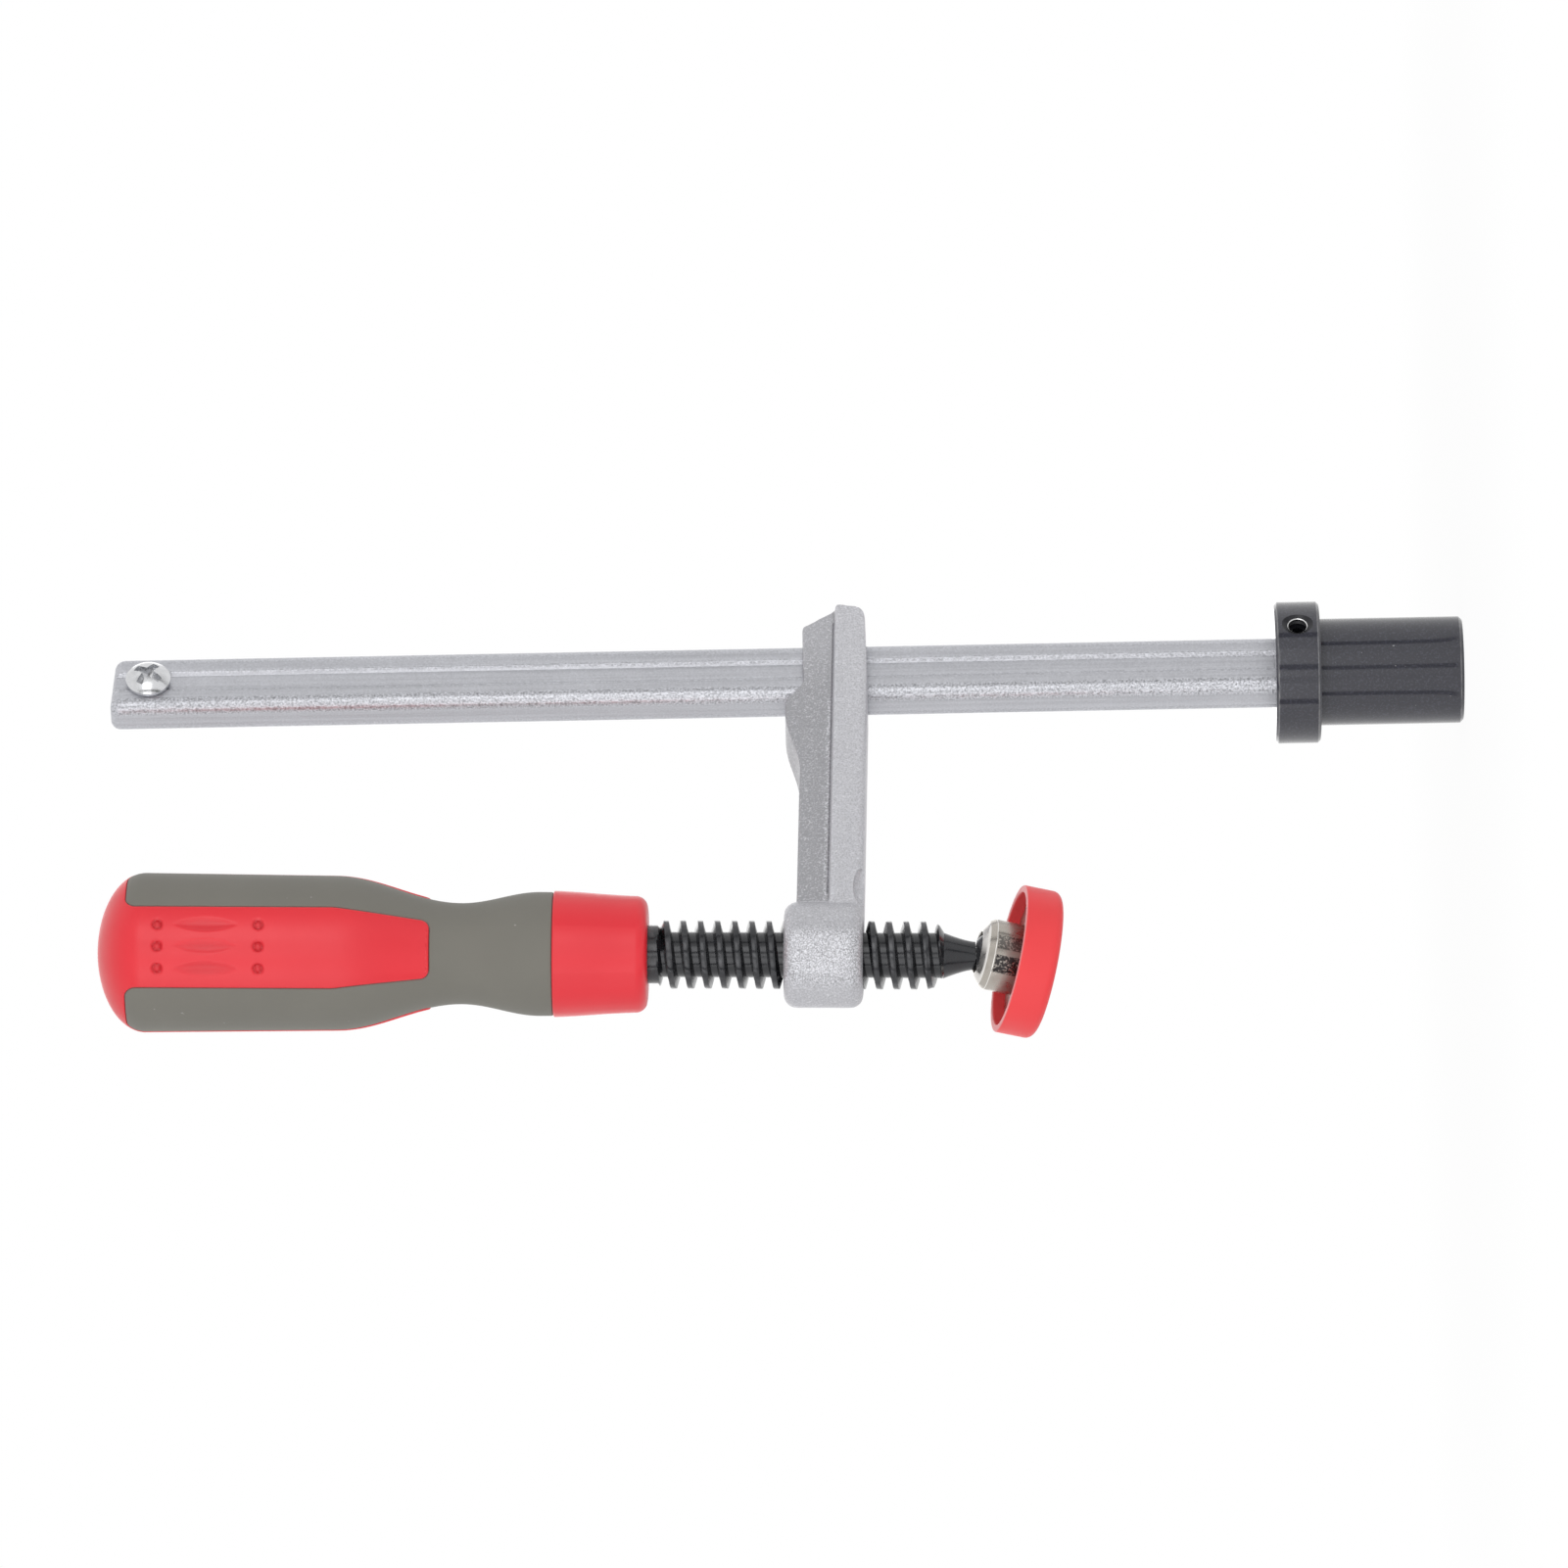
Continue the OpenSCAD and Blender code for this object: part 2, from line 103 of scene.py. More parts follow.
def axes_matrix(origin, x_axis, z_axis):
    """Placement with its origin at a point, and its X and Z along two directions."""
    x = Vector(x_axis).normalized()
    z = Vector(z_axis).normalized()
    return Matrix.Translation(origin) @ Matrix((x, z.cross(x), z)).transposed().to_4x4()


# Seats of the spindle's and the pad's pieces at the ball, and the turn that takes Z to the stop screw's side
BALL = Vector(JOINTS["pad_swivel"]["pos_m"])
SWIVEL = Vector(JOINTS["pad_swivel"]["axis"])
RISING = -Vector(JOINTS["spindle_feed"]["axis"])
ON_SPINDLE = axes_matrix(BALL, Vector((0, 1, 0)).cross(RISING), RISING)
ON_PAD = axes_matrix(BALL, SWIVEL, -Vector(MOUNTS["pad_face"]["axis"]))
TO_FRONT = Matrix.Rotation(math.pi / 2, 4, "X")


# Sizes and colours that a user would change

def length(name, millimetres, description):
    """Length property whose default is given in millimetres."""
    return FloatProperty(name=name, description=description, default=millimetres * MM, precision=5,
                         subtype="DISTANCE", unit="LENGTH")


def turn(name, degrees, description):
    """Angle property whose default is given in degrees."""
    return FloatProperty(name=name, description=description, default=math.radians(degrees), subtype="ANGLE")


def colour(name, red, green, blue, description):
    """Colour property in linear light."""
    return FloatVectorProperty(name=name, description=description, default=(red, green, blue), size=3,
                               min=0, max=1, subtype="COLOR")


def amount(name, value, description):
    """Plain number property."""
    return FloatProperty(name=name, description=description, default=value)


class RailSizes(PropertyGroup):
    """Sizes of the rail and its stop screw."""
    corner: length("Corner", 2.0, "Radius of the rail's long corners")
    end_round: length("End round", 1.8, "Radius round the rail's free end")
    end_slant: length("End slant", 1.0, "Slant of the free end across the wide faces")
    flute_width: length("Flute width", 4.4, "Width of the flute in each wide face")
    flute_depth: length("Flute depth", 0.6, "Depth of the flute")
    flute_round: length("Flute round", 0.22, "Radius of the flute's edges")
    screw_inset: length("Screw inset", 6.9, "Distance from the free end to the stop screw")
    screw_thread: length("Screw thread", 4.0, "Thread diameter of the stop screw")
    head: length("Screw head", 8.0, "Diameter of the stop screw's head")
    head_height: length("Head height", 2.5, "Height of the stop screw's head")
    head_rim: length("Head rim", 0.8, "Height of the straight rim of the head")
    recess: length("Recess", 5.8, "Length across the cross recess")
    recess_width: length("Recess width", 1.5, "Width of one arm of the cross recess")
    recess_turn: turn("Recess turn", -35, "Turn of the cross recess about the screw")


class PostSizes(PropertyGroup):
    """Sizes of the bench post and its collar."""
    post: length("Post", 19.0, "Diameter of the post")
    post_chamfer: length("Post chamfer", 0.55, "Chamfer round the post's foot")
    collar: length("Collar", 25.2, "Diameter of the collar")
    collar_height: length("Collar height", 8.0, "Height of the collar")
    chamfer: length("Chamfer", 0.45, "Chamfer round the collar's edges")
    edge: length("Edge", 0.14, "Radius of the turned edges, where the black is worn off")
    foot: length("Foot depth", 10.6, "Depth of the rail's socket below the bench top")
    set_thread: length("Set screw", 4.0, "Thread diameter of the set screw")
    set_pitch: length("Set screw pitch", 0.7, "Pitch of the set screw's thread")
    countersink: length("Countersink", 0.6, "Depth of the countersink at the set screw")


class ArmSizes(PropertyGroup):
    """Sizes of the sliding arm, with its origin on the rail's axis at the arm's underside."""
    reach: length("Reach", 66.3, "Distance from the rail's axis to the spindle's axis")
    rise: length("Rise", 23.313, "Height of the arm's underside above the ball")
    flange_height: length("Flange height", 6.1, "Height of the flange")
    flange: length("Flange", 14.4, "Thickness of the flange")
    web: length("Web", 11.0, "Thickness of the web at the flange")
    web_top: length("Web top", 9.0, "Thickness of the web at the heel's top")
    end_lift: length("End lift", 0.8, "Rise of the underside from the rail to the outer end")
    end_slant: length("End slant", 0.6, "Slant of the flange's outer end")
    end_round: length("End round", 2.5, "Radius at the lower corner of the outer end")
    web_height: length("Web height", 11.8, "Height of the web at the spindle")
    crown_height: length("Crown height", 11.5, "Height of the web over the rail's wide faces")
    heel_height: length("Heel height", 14.6, "Height of the heel behind the rail")
    slot_width: length("Slot width", 13.5, "Width of the slot for the rail")
    slot_thickness: length("Slot thickness", 7.34, "Thickness of the slot for the rail")
    end_wall: length("End wall", 5.7, "Wall between the slot and the outer end")
    crown_wall: length("Crown wall", 2.1, "Wall between the slot and the top of the sloped end")
    heel_start: length("Heel start", -3.9, "Place where the heel's rise begins")
    heel_rise: length("Heel rise", 5.6, "Length of the heel's rise")
    heel: length("Heel", 1.5, "Length of the heel's top")
    heel_slope: length("Heel slope", 15.0, "Length of the slope from the heel to the web")
    boss: length("Boss", 18.5, "Diameter of the boss")
    boss_length: length("Boss length", 13.9, "Length of the boss")
    # The boss's painted glints centre on this turn, where its highlight band falls
    boss_glint_turn: turn("Boss front", -135, "Turn about the boss to the middle of its coarse grain")
    boss_edge: length("Boss edge", 2.2, "Radius of the boss's edges")
    bore: length("Bore", 12.1, "Diameter of the tapped bore")
    groove: length("Groove", 0.4, "Half width of the groove between web and flange")
    bite: length("Bite", 9.3, "Length of the milled bite in the flange beside the boss")
    bite_height: length("Bite height", 1.9, "Height of the bite on the flange's near side")
    bite_depth: length("Bite depth", 2.4, "Depth of the bite into the flange")
    voxel: length("Casting grain", 0.34, "Cell size of the merged forging")
    smoothing: IntProperty(name="Softening", description="Rounds of softening on the forging", default=7)


class SpindleSizes(PropertyGroup):
    """Sizes of the spindle, with its origin at the ball's centre."""
    crest: length("Crest", 12.0, "Outer diameter of the thread")
    root: length("Root", 8.0, "Root diameter of the thread")
    lead: length("Lead", 3.0, "Advance of the thread in one turn")
    crest_land: length("Crest land", 0.95, "Width of the thread's crest")
    flank: length("Flank", 0.5, "Width of one sloped flank")
    thread_start: length("Thread start", 9.2, "Height of the thread's lower end above the ball")
    thread_phase: length("Thread phase", 0.81, "Height at which a crest begins above the ball")
    thread_end: length("Thread end", 61.8, "Height of the thread's upper end above the ball, inside the handle")
    shank: length("Shank", 10.3, "Diameter of the plain shank before the handle")
    shank_at: length("Shank place", 58.7, "Height at which the shank begins above the ball")
    ridge: length("Ridge", 10.3, "Diameter of the sharp ridge at the thread's lower end")
    neck: length("Neck", 8.0, "Diameter of the neck's thick end")
    neck_end: length("Neck end", 4.9, "Diameter of the neck's thin end")
    neck_foot: length("Neck foot", 3.71, "Height of the neck's thin end above the ball")
    stub: length("Stub", 3.0, "Diameter of the stub in the ball")


class HandleSizes(PropertyGroup):
    """Sizes of the two-part handle, with its origin at its front end."""
    rise: length("Rise", 61.013, "Height of the handle's front end above the ball")
    turned: turn("Turned", -38, "Turn of the handle about the spindle")
    whole: length("Length", 96.38, "Length of the handle")
    front: length("Front", 20.4, "Diameter of the front end")
    front_round: length("Front round", 2.1, "Radius round the front end")
    bulge: length("Bulge", 22.2, "Diameter of the bulge")
    bulge_at: length("Bulge place", 18.8, "Distance from the front end to the bulge")
    waist: length("Waist", 18.2, "Diameter of the waist")
    waist_at: length("Waist place", 32.6, "Distance from the front end to the waist")
    palm_front: length("Palm front", 27.2, "Diameter at the front of the palm swell")
    palm: length("Palm", 27.98, "Diameter at the rear of the palm swell")
    palm_at: length("Palm place", 54.5, "Distance from the front end to the palm swell")
    dome: length("Dome", 8.5, "Length of the domed rear end")
    bore: length("Bore", 8.1, "Diameter of the bore for the tang")
    grip_thickness: length("Grip thickness", 1.6, "Thickness of the soft grip")
    grip_sink: length("Grip sink", 0.25, "Depth of the grip's skin below the panels at the waist")
    grip_rise: length("Grip rise", 10.0, "Distance before the palm swell over which the grip comes up flush")
    grip_gap: length("Grip gap", 0.05, "Seam between the grip and the panels")
    grip_edge: length("Grip edge", 0.3, "Radius of the grip's edges")
    panel_edge: length("Panel edge", 0.32, "Radius of the panels' edges")
    front_length: length("Front length", 16.5, "Length of the bare front section")
    panel_at: length("Panel place", 38.0, "Distance from the front end to the panels")
    panel_corner: length("Panel corner", 1.8, "Radius of a panel's front corners")
    panel_front: length("Panel front", 5.3, "Half width of a panel at its front end")
    panel_palm: length("Panel palm", 7.2, "Half width of a panel over the palm swell")
    finger_end: length("Finger end", 91.0, "Distance from the front end to the fingers' tips")
    finger_round: length("Finger round", 1.9, "Radius of a finger's corners")
    ornament_at: length("Ornament place", 76.35, "Distance from the front end to the middle of the ornament")
    ornament_pitch: length("Ornament pitch", 3.9, "Distance between rows of the ornament")
    dot_reach: length("Dot reach", 8.8, "Distance from the ornament's middle to its dots")
    dot: length("Dot", 1.05, "Radius of a dot's ring")
    dot_depth: length("Dot depth", 0.4, "Depth of a dot's ring")
    dimple_shift: length("Dimple shift", 0.4, "Distance of the dimples behind the ornament's middle")
    dimple: length("Dimple", 11.6, "Length of an almond dimple")
    dimple_width: length("Dimple width", 2.7, "Width of an almond dimple")
    dimple_depth: length("Dimple depth", 0.42, "Depth of an almond dimple")


class PadSizes(PropertyGroup):
    """Sizes of the tilting pad, with its origin at the ball's centre."""
    cap: length("Cap", 26.2, "Diameter of the cap")
    cap_depth: length("Cap depth", 6.8, "Depth of the cap")
    cap_edge: length("Cap edge", 1.5, "Radius round the cap's face")
    cap_wall: length("Cap wall", 1.3, "Thickness of the cap's wall")
    cap_floor: length("Cap floor", 2.5, "Thickness of the cap's floor")
    face: length("Face", 9.0, "Distance from the ball's centre to the cap's face")
    plate_gap: length("Plate gap", 0.1, "Gap between the plate and the cap's wall")
    plate: length("Plate", 2.2, "Thickness of the plate")
    socket: length("Socket", 12.5, "Diameter of the ball socket")
    shoulder: length("Shoulder", 1.3, "Height of the socket's straight side above the ball's centre")
    bulge: length("Bulge", 0.25, "How far the bevel stands out beyond a straight one")
    rim: length("Rim", 3.45, "Height of the socket's rim above the ball's centre")
    mouth: length("Mouth", 3.716, "Radius of the socket's mouth")
    rim_width: length("Rim width", 0.4, "Width of the socket's rim")
    cavity: length("Cavity", 4.45, "Radius of the socket's hollow")
    # Middle of the socket's painted dark reflections
    reflection_band_turn: turn("Tarnish turn", -142.0, "Turn about the socket to the middle of its tarnished side")


class FinishColours(PropertyGroup):
    """Colours of the clamp's finishes."""
    zinc: colour("Zinc", 0.543, 0.549, 0.583, "Dull zinc of the rail")
    bright_zinc: colour("Bright zinc", 0.68, 0.685, 0.70, "Bright zinc of the stop screw")
    black_steel: colour("Black steel", 0.035, 0.0355, 0.047, "Blackened post and collar")
    # Bare steel of the hole's rim, bright as a painted highlight
    bare_steel_glint: colour("Bare steel", 0.75, 0.75, 0.75, "Bare edge of the tapped hole")
    spindle_black: colour("Spindle black", 0.022, 0.023, 0.027, "Blackened and oiled spindle")
    silver_paint: colour("Silver paint", 0.605, 0.605, 0.637, "Silver paint of the arm")
    red: colour("Red", 0.85, 0.027, 0.042, "Red moulding of the handle")
    cap_red: colour("Cap red", 0.95, 0.055, 0.063, "Red moulding of the pad's cap")
    grey: colour("Grey", 0.195, 0.188, 0.163, "Soft grey moulding of the grip")
    nickel: colour("Nickel", 0.44, 0.41, 0.37, "Nickel plating of the ball socket")


class StageSettings(PropertyGroup):
    """Camera, floor and light."""
    view_turn: turn("View turn", 43.4, "Turn of the view from the stop screw's face towards the spindle")
    roll: turn("Roll", 1.1, "Roll of the picture")
    distance: length("Distance", 2473, "Distance from the camera to the rail's axis")
    aim_across: length("Aim across", -18.1, "Place of the picture's middle across the rail, towards the spindle")
    aim_along: length("Aim along", 95.7, "Height of the picture's middle above the bench top")
    focal: amount("Focal length", 318.6, "Focal length on a 36 mm sensor")
    floor_white: amount("Floor white", 0.94, "Share of plain white in the floor beside the post")
    shadow_reach: length("Shadow reach", 260, "Distance from the post at which the floor is plain white")
    ambient: amount("Ambient", 0.66, "Light from all round")
    box_level: amount("Softbox level", 1.45, "Brightness of the front softboxes")
    box_distance: length("Softbox distance", 1250, "Distance of the softboxes from the rail")
    box_height: length("Softbox height", 1100, "Height of a softbox")


# Mesh tools

def add_piece(name, points, faces):
    """New mesh object from points and faces."""
    mesh = bpy.data.meshes.new(name)
    mesh.from_pydata(points, [], faces)
    if mesh.validate():
        raise RuntimeError(name + " has bad faces")
    piece = bpy.data.objects.new(name, mesh)
    bpy.context.scene.collection.objects.link(piece)
    return piece


def smooth(piece, degrees=32):
    """Smooth shading, with edges sharper than an angle kept crisp."""
    piece.data.shade_smooth()
    piece.data.set_sharp_from_angle(angle=math.radians(degrees))


def bake(piece):
    """Applies a piece's modifiers to its mesh."""
    depsgraph = bpy.context.evaluated_depsgraph_get()
    old = piece.data
    piece.data = bpy.data.meshes.new_from_object(piece.evaluated_get(depsgraph))
    piece.modifiers.clear()
    bpy.data.meshes.remove(old)


def carve(piece, cutter):
    """Cuts a piece with another object and removes the other object."""
    modifier = piece.modifiers.new("carve", "BOOLEAN")
    modifier.operation = "DIFFERENCE"
    modifier.solver = "EXACT"
    modifier.material_mode = "TRANSFER"
    modifier.object = cutter
    bake(piece)
    mesh = cutter.data
    bpy.data.objects.remove(cutter)
    bpy.data.meshes.remove(mesh)


def merge(piece, other):
    """Adds another object's mesh to a piece as it is."""
    with bpy.context.temp_override(active_object=piece, selected_editable_objects=[piece, other]):
        bpy.ops.object.join()


def rounded(corners, closed=False, steps=6):
    """Points of an outline through corners (x, y, radius), each with its corner's radius, or 0 where flat."""
    arcs = []
    count = len(corners)
    for i, (x, y, radius) in enumerate(corners):
        points = []
        arcs.append(points)
        here = Vector((x, y))
        if radius == 0 or (not closed and i in (0, count - 1)):
            points.append((x, y, 0.0))
            continue
        before = (Vector(corners[i - 1][:2]) - here).normalized()
        after = (Vector(corners[(i + 1) % count][:2]) - here).normalized()
        half = before.angle(after) / 2
        centre = here + (before + after).normalized() * radius / math.sin(half)
        start = here + before * radius / math.tan(half) - centre
        end = here + after * radius / math.tan(half) - centre
        first = math.atan2(start.y, start.x)
        swing = math.remainder(math.atan2(end.y, end.x) - first, 2 * math.pi)
        for step in range(steps + 1):
            angle = first + swing * step / steps
            points.append((centre.x + radius * math.cos(angle), centre.y + radius * math.sin(angle), radius))
    outline = []
    for i, points in enumerate(arcs):
        outline += points
        if i + 1 < count or closed:
            outline += flat_between(points[-1], arcs[(i + 1) % count][0])
    return outline


def flat_between(start, end):
    """Points near both ends of a straight stretch, marked flat, so that a corner's mark doesn't spread along it; the
    mark is wear on some pieces and a painted glint on others.
    """
    margin = 0.3 * MM
    here, there = Vector(start[:2]), Vector(end[:2])
    along = there - here
    if along.length < 4 * margin:
        return []
    step = along.normalized() * margin
    return [(*(here + step), 0.0), (*(there - step), 0.0)]


def lathe(name, profile, segments=96):
    """Solid turned about Z from a profile of (radius, height, mark), where a mark over 0 is an edge that some finishes
    show as worn and others give a painted highlight.
    """
    points, faces, rings, marks = [], [], [], []
    for radius, height, corner in profile:
        if radius < TINY:
            rings.append([len(points)] * segments)
            points.append((0, 0, height))
            marks.append(float(corner > 0))
            continue
        rings.append(range(len(points), len(points) + segments))
        for i in range(segments):
            angle = 2 * math.pi * i / segments
            points.append((radius * math.cos(angle), radius * math.sin(angle), height))
            marks.append(float(corner > 0))
    for low, high in zip(rings, rings[1:]):
        for i in range(segments):
            j = (i + 1) % segments
            loop = dict.fromkeys((low[i], low[j], high[j], high[i]))
            if len(loop) > 2:
                faces.append(tuple(loop))
    piece = add_piece(name, points, faces)
    mark_points(piece, "wear_and_glint", marks)
    return piece


def mark_points(piece, name, marks):
    """Stores a number from 0 to 1 on each point of a piece, for its finish."""
    layer = piece.data.attributes.new(name, "FLOAT", "POINT")
    layer.data.foreach_set("value", marks)


def quad(ring, i, count):
    """Face from one ring of points to the next, at one of the ring's points."""
    j = (i + 1) % count
    return ring * count + i, ring * count + j, (ring + 1) * count + j, (ring + 1) * count + i


def prism(name, outline, start, end, plane="XY"):
    """Solid between two heights over an outline drawn in the XY or the XZ plane."""
    count = len(outline)
    points = []
    for height in (start, end):
        for x, y, *_ in outline:
            points.append((x, y, height) if plane == "XY" else (x, -height, y))
    sides = [quad(0, i, count) for i in range(count)]
    return add_piece(name, points, sides + [tuple(range(count))[::-1], tuple(range(count, 2 * count))])


def box(name, low, high):
    """Block between two corners."""
    outline = [(low[0], low[1]), (high[0], low[1]), (high[0], high[1]), (low[0], high[1])]
    return prism(name, outline, low[2], high[2])


def stations(*spans):
    """Rising list of the places in spans (start, end, step), each span with both its ends."""
    places = set()
    for start, end, step in spans:
        count = max(1, math.ceil((end - start) / step))
        places.update(round(start + (end - start) * i / count, 7) for i in range(count + 1))
    return sorted(places)


def ease(start, end, share):
    """Value between two others on a cosine curve."""
    return start + (end - start) * (1 - math.cos(math.pi * share)) / 2


def rounding(depth, radius):
    """Drop of a rounded edge at a distance inside it."""
    inside = min(max(depth, 0), radius)
    return radius - math.sqrt(radius * radius - (radius - inside) ** 2)


def dress(piece, body, node, finish=None):
    """Gives a piece its finish, its body and its material slot, and hides the solid it stands for."""
    if finish:
        piece.data.materials.clear()
        piece.data.materials.append(finish)
        piece.data.polygons.foreach_set("material_index", [0] * len(piece.data.polygons))
    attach(piece, body)
    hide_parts(node)


def refinish(node, finish):
    """Gives a solid that is kept as it is a finish of its own."""
    mesh = frame["nodes"][node].data
    mesh.materials.clear()
    mesh.materials.append(finish)


# Finishes

def add_node(tree, kind, links=(), **settings):
    """New node in a tree, with its settings, and its inputs linked or set."""
    made = tree.nodes.new(kind)
    for key, value in settings.items():
        setattr(made, key, value)
    for socket, value in dict(links).items():
        if isinstance(value, bpy.types.NodeSocket):
            tree.links.new(value, made.inputs[socket])
        else:
            made.inputs[socket].default_value = value
    return made


class Finish:
    """A material on its way: its shader and short calls for its nodes."""

    def __init__(self, name, base, roughness, **sockets):
        self.material = bpy.data.materials.new(name)
        self.material.use_nodes = True
        self.tree = self.material.node_tree
        self.shader = self.tree.nodes["Principled BSDF"]
        self.base = (*base, 1)
        self.shader.inputs["Base Color"].default_value = self.base
        self.shader.inputs["Roughness"].default_value = roughness
        for socket, value in sockets.items():
            self.shader.inputs[socket.replace("_", " ")].default_value = value
        self.place = self.node("ShaderNodeTexCoord").outputs["Object"]

    def node(self, kind, links=(), **settings):
        """New node in this material."""
        return add_node(self.tree, kind, links, **settings)

    def stretched(self, x, y, z):
        """Object coordinates scaled along each axis, for streaks."""
        mapping = self.node("ShaderNodeMapping", {"Vector": self.place, "Scale": (x, y, z)})
        return mapping.outputs["Vector"]

    def noise(self, scale, detail, place=None):
        """Noise of a given number of features per metre."""
        made = self.node("ShaderNodeTexNoise", {"Vector": place or self.place, "Scale": scale, "Detail": detail})
        return made.outputs["Fac"]

    def ramp(self, value, low, high, start=0.0, end=1.0):
        """Value stretched from one range to another and kept inside it."""
        made = self.node("ShaderNodeMapRange", {"Value": value, "From Min": low, "From Max": high,
                                                "To Min": start, "To Max": end})
        return made.outputs["Result"]

    def times(self, first, second):
        """Product of two values."""
        return self.node("ShaderNodeMath", {0: first, 1: second}, operation="MULTIPLY").outputs[0]

    def attribute(self, name):
        """Number stored on the points of the mesh."""
        return self.node("ShaderNodeAttribute", attribute_name=name).outputs["Fac"]

    def tint(self, share, shade):
        """Mixes a shade over the base colour by a share."""
        socket = self.shader.inputs["Base Color"]
        below = socket.links[0].from_socket if socket.links else self.base
        made = self.node("ShaderNodeMix", {0: share, 6: below, 7: (*shade, 1)}, data_type="RGBA")
        self.tree.links.new(made.outputs[2], socket)

    def fleck(self, value, low, high, share, factor, where=None):
        """Tints by a lighter or darker base colour, up to a share, as a value goes from one level to another."""
        spread = self.ramp(value, low, high, 0, share)
        if where is not None:
            spread = self.times(where, spread)
        self.tint(spread, shaded(self.base[:3], factor))

    def roughen(self, value, low, high, start, end):
        """Takes the roughness from a start to an end as a value goes from one level to another."""
        self.tree.links.new(self.ramp(value, low, high, start, end), self.shader.inputs["Roughness"])

    def bump(self, height, strength, depth):
        """Adds a bump of a strength and a depth in metres over the bumps so far."""
        socket = self.shader.inputs["Normal"]
        links = {"Height": height, "Strength": strength, "Distance": depth}
        if socket.links:
            links["Normal"] = socket.links[0].from_socket
        made = self.node("ShaderNodeBump", links)
        self.tree.links.new(made.outputs["Normal"], socket)


def shaded(base, factor):
    """Colour made darker or lighter by a factor."""
    return tuple(min(channel * factor, 1) for channel in base)


def zinc_finish(colours):
    """Dull zinc with drawn streaks and random grain, a grain bump on the rolled corners, and painted glints on them:
    light and dark specks that stand in for sparkling highlights.
    """
    finish = Finish("zinc_rail", colours.zinc, 0.4, Metallic=0.9)
    streaks = finish.noise(1.0, 3.0, finish.stretched(1400, 1400, 14))
    finish.fleck(streaks, 0.42, 0.75, 0.6, 0.78)
    blotches = finish.noise(120, 3.0)
    finish.fleck(blotches, 0.5, 0.8, 0.3, 1.2)
    grains, corner = finish.noise(2700, 2.0), finish.attribute("wear_and_glint")
    finish.fleck(grains, 0.52, 0.75, 0.35, 1.3)
    finish.fleck(grains, 0.48, 0.25, 0.25, 0.6)
    # Painted glints: light and dark specks on the marked corners, strongest on the corner between the spindle's side
    # and the stop screw's face
    finish.fleck(grains, 0.5, 0.7, 0.9, 1.3, corner)
    finish.fleck(grains, 0.5, 0.3, 0.8, 0.5, corner)
    finish.roughen(streaks, 0.3, 0.7, 0.33, 0.47)
    finish.bump(finish.noise(2600, 1.0), 0.25, 0.05 * MM)
    finish.bump(finish.times(grains, corner), 0.6, 0.12 * MM)
    return finish.material


def bright_zinc_finish(colours):
    """Bright zinc, nearly a mirror, with faint turning marks."""
    finish = Finish("zinc_screw", colours.bright_zinc, 0.14, Metallic=1.0)
    clouds = finish.noise(500, 2.0)
    finish.roughen(clouds, 0.35, 0.7, 0.15, 0.3)
    finish.fleck(clouds, 0.5, 0.75, 0.4, 0.7)
    finish.bump(finish.noise(900, 1.0), 0.2, 0.05 * MM)
    return finish.material


def black_steel_finish(colours):
    """Blackened steel with a satin sheen, light specks and worn edges."""
    finish = Finish("black_post", colours.black_steel, 0.5, Specular_IOR_Level=0.1,
                    Coat_Weight=1.0, Coat_Roughness=0.1)
    clouds = finish.noise(160, 4.0)
    finish.fleck(clouds, 0.4, 0.8, 0.2, 1.4)
    grain = finish.noise(2600, 1.0)
    finish.fleck(grain, 0.5, 0.75, 0.55, 2.4)
    specks = finish.noise(1700, 0.0)
    finish.tint(finish.ramp(specks, 0.86, 0.9, 0, 0.8), (0.35, 0.35, 0.36))
    wear_and_glint = finish.ramp(finish.attribute("wear_and_glint"), 0.7, 1.0)
    edge = finish.times(wear_and_glint, finish.ramp(finish.noise(500, 2.0), 0.3, 0.6, 0.2, 0.7))
    finish.tint(edge, (0.30, 0.30, 0.31))
    finish.roughen(clouds, 0.3, 0.7, 0.45, 0.55)
    finish.bump(finish.noise(2200, 2.0), 0.1, 0.03 * MM)
    return finish.material


def bare_steel_glint_finish(colours):
    """Bare metal of a cut thread's edge, brightened for the rim's painted highlight."""
    finish = Finish("bare_thread_glint", colours.bare_steel_glint, 0.3, Metallic=1.0)
    finish.bump(finish.noise(2500, 1.0), 0.2, 0.04 * MM)
    return finish.material


def black_screw_finish(colours):
    """Black oxide of the set screw, darker than the post; on the tapped hole's walls it is painted shade."""
    finish = Finish("black_screw", shaded(colours.black_steel, 0.4), 0.35, Metallic=0.3)
    finish.bump(finish.noise(2500, 1.0), 0.2, 0.04 * MM)
    return finish.material


def spindle_finish(colours):
    """Blackened and oiled steel, with crests tinted lighter in patches: partly rubbed wear, partly a painted highlight.
    """
    finish = Finish("black_spindle", colours.spindle_black, 0.3, Metallic=0.35, Coat_Weight=0.35, Coat_Roughness=0.1)
    # Lighter patches on the crests: partly wear, partly a painted highlight
    painted_glint = finish.times(finish.attribute("wear_and_glint"), finish.ramp(finish.noise(600, 3.0), 0.45, 0.75))
    finish.tint(finish.times(painted_glint, 0.35), (0.16, 0.16, 0.17))
    finish.roughen(finish.noise(400, 3.0), 0.3, 0.7, 0.18, 0.36)
    finish.bump(finish.noise(1800, 2.0), 0.15, 0.05 * MM)
    return finish.material


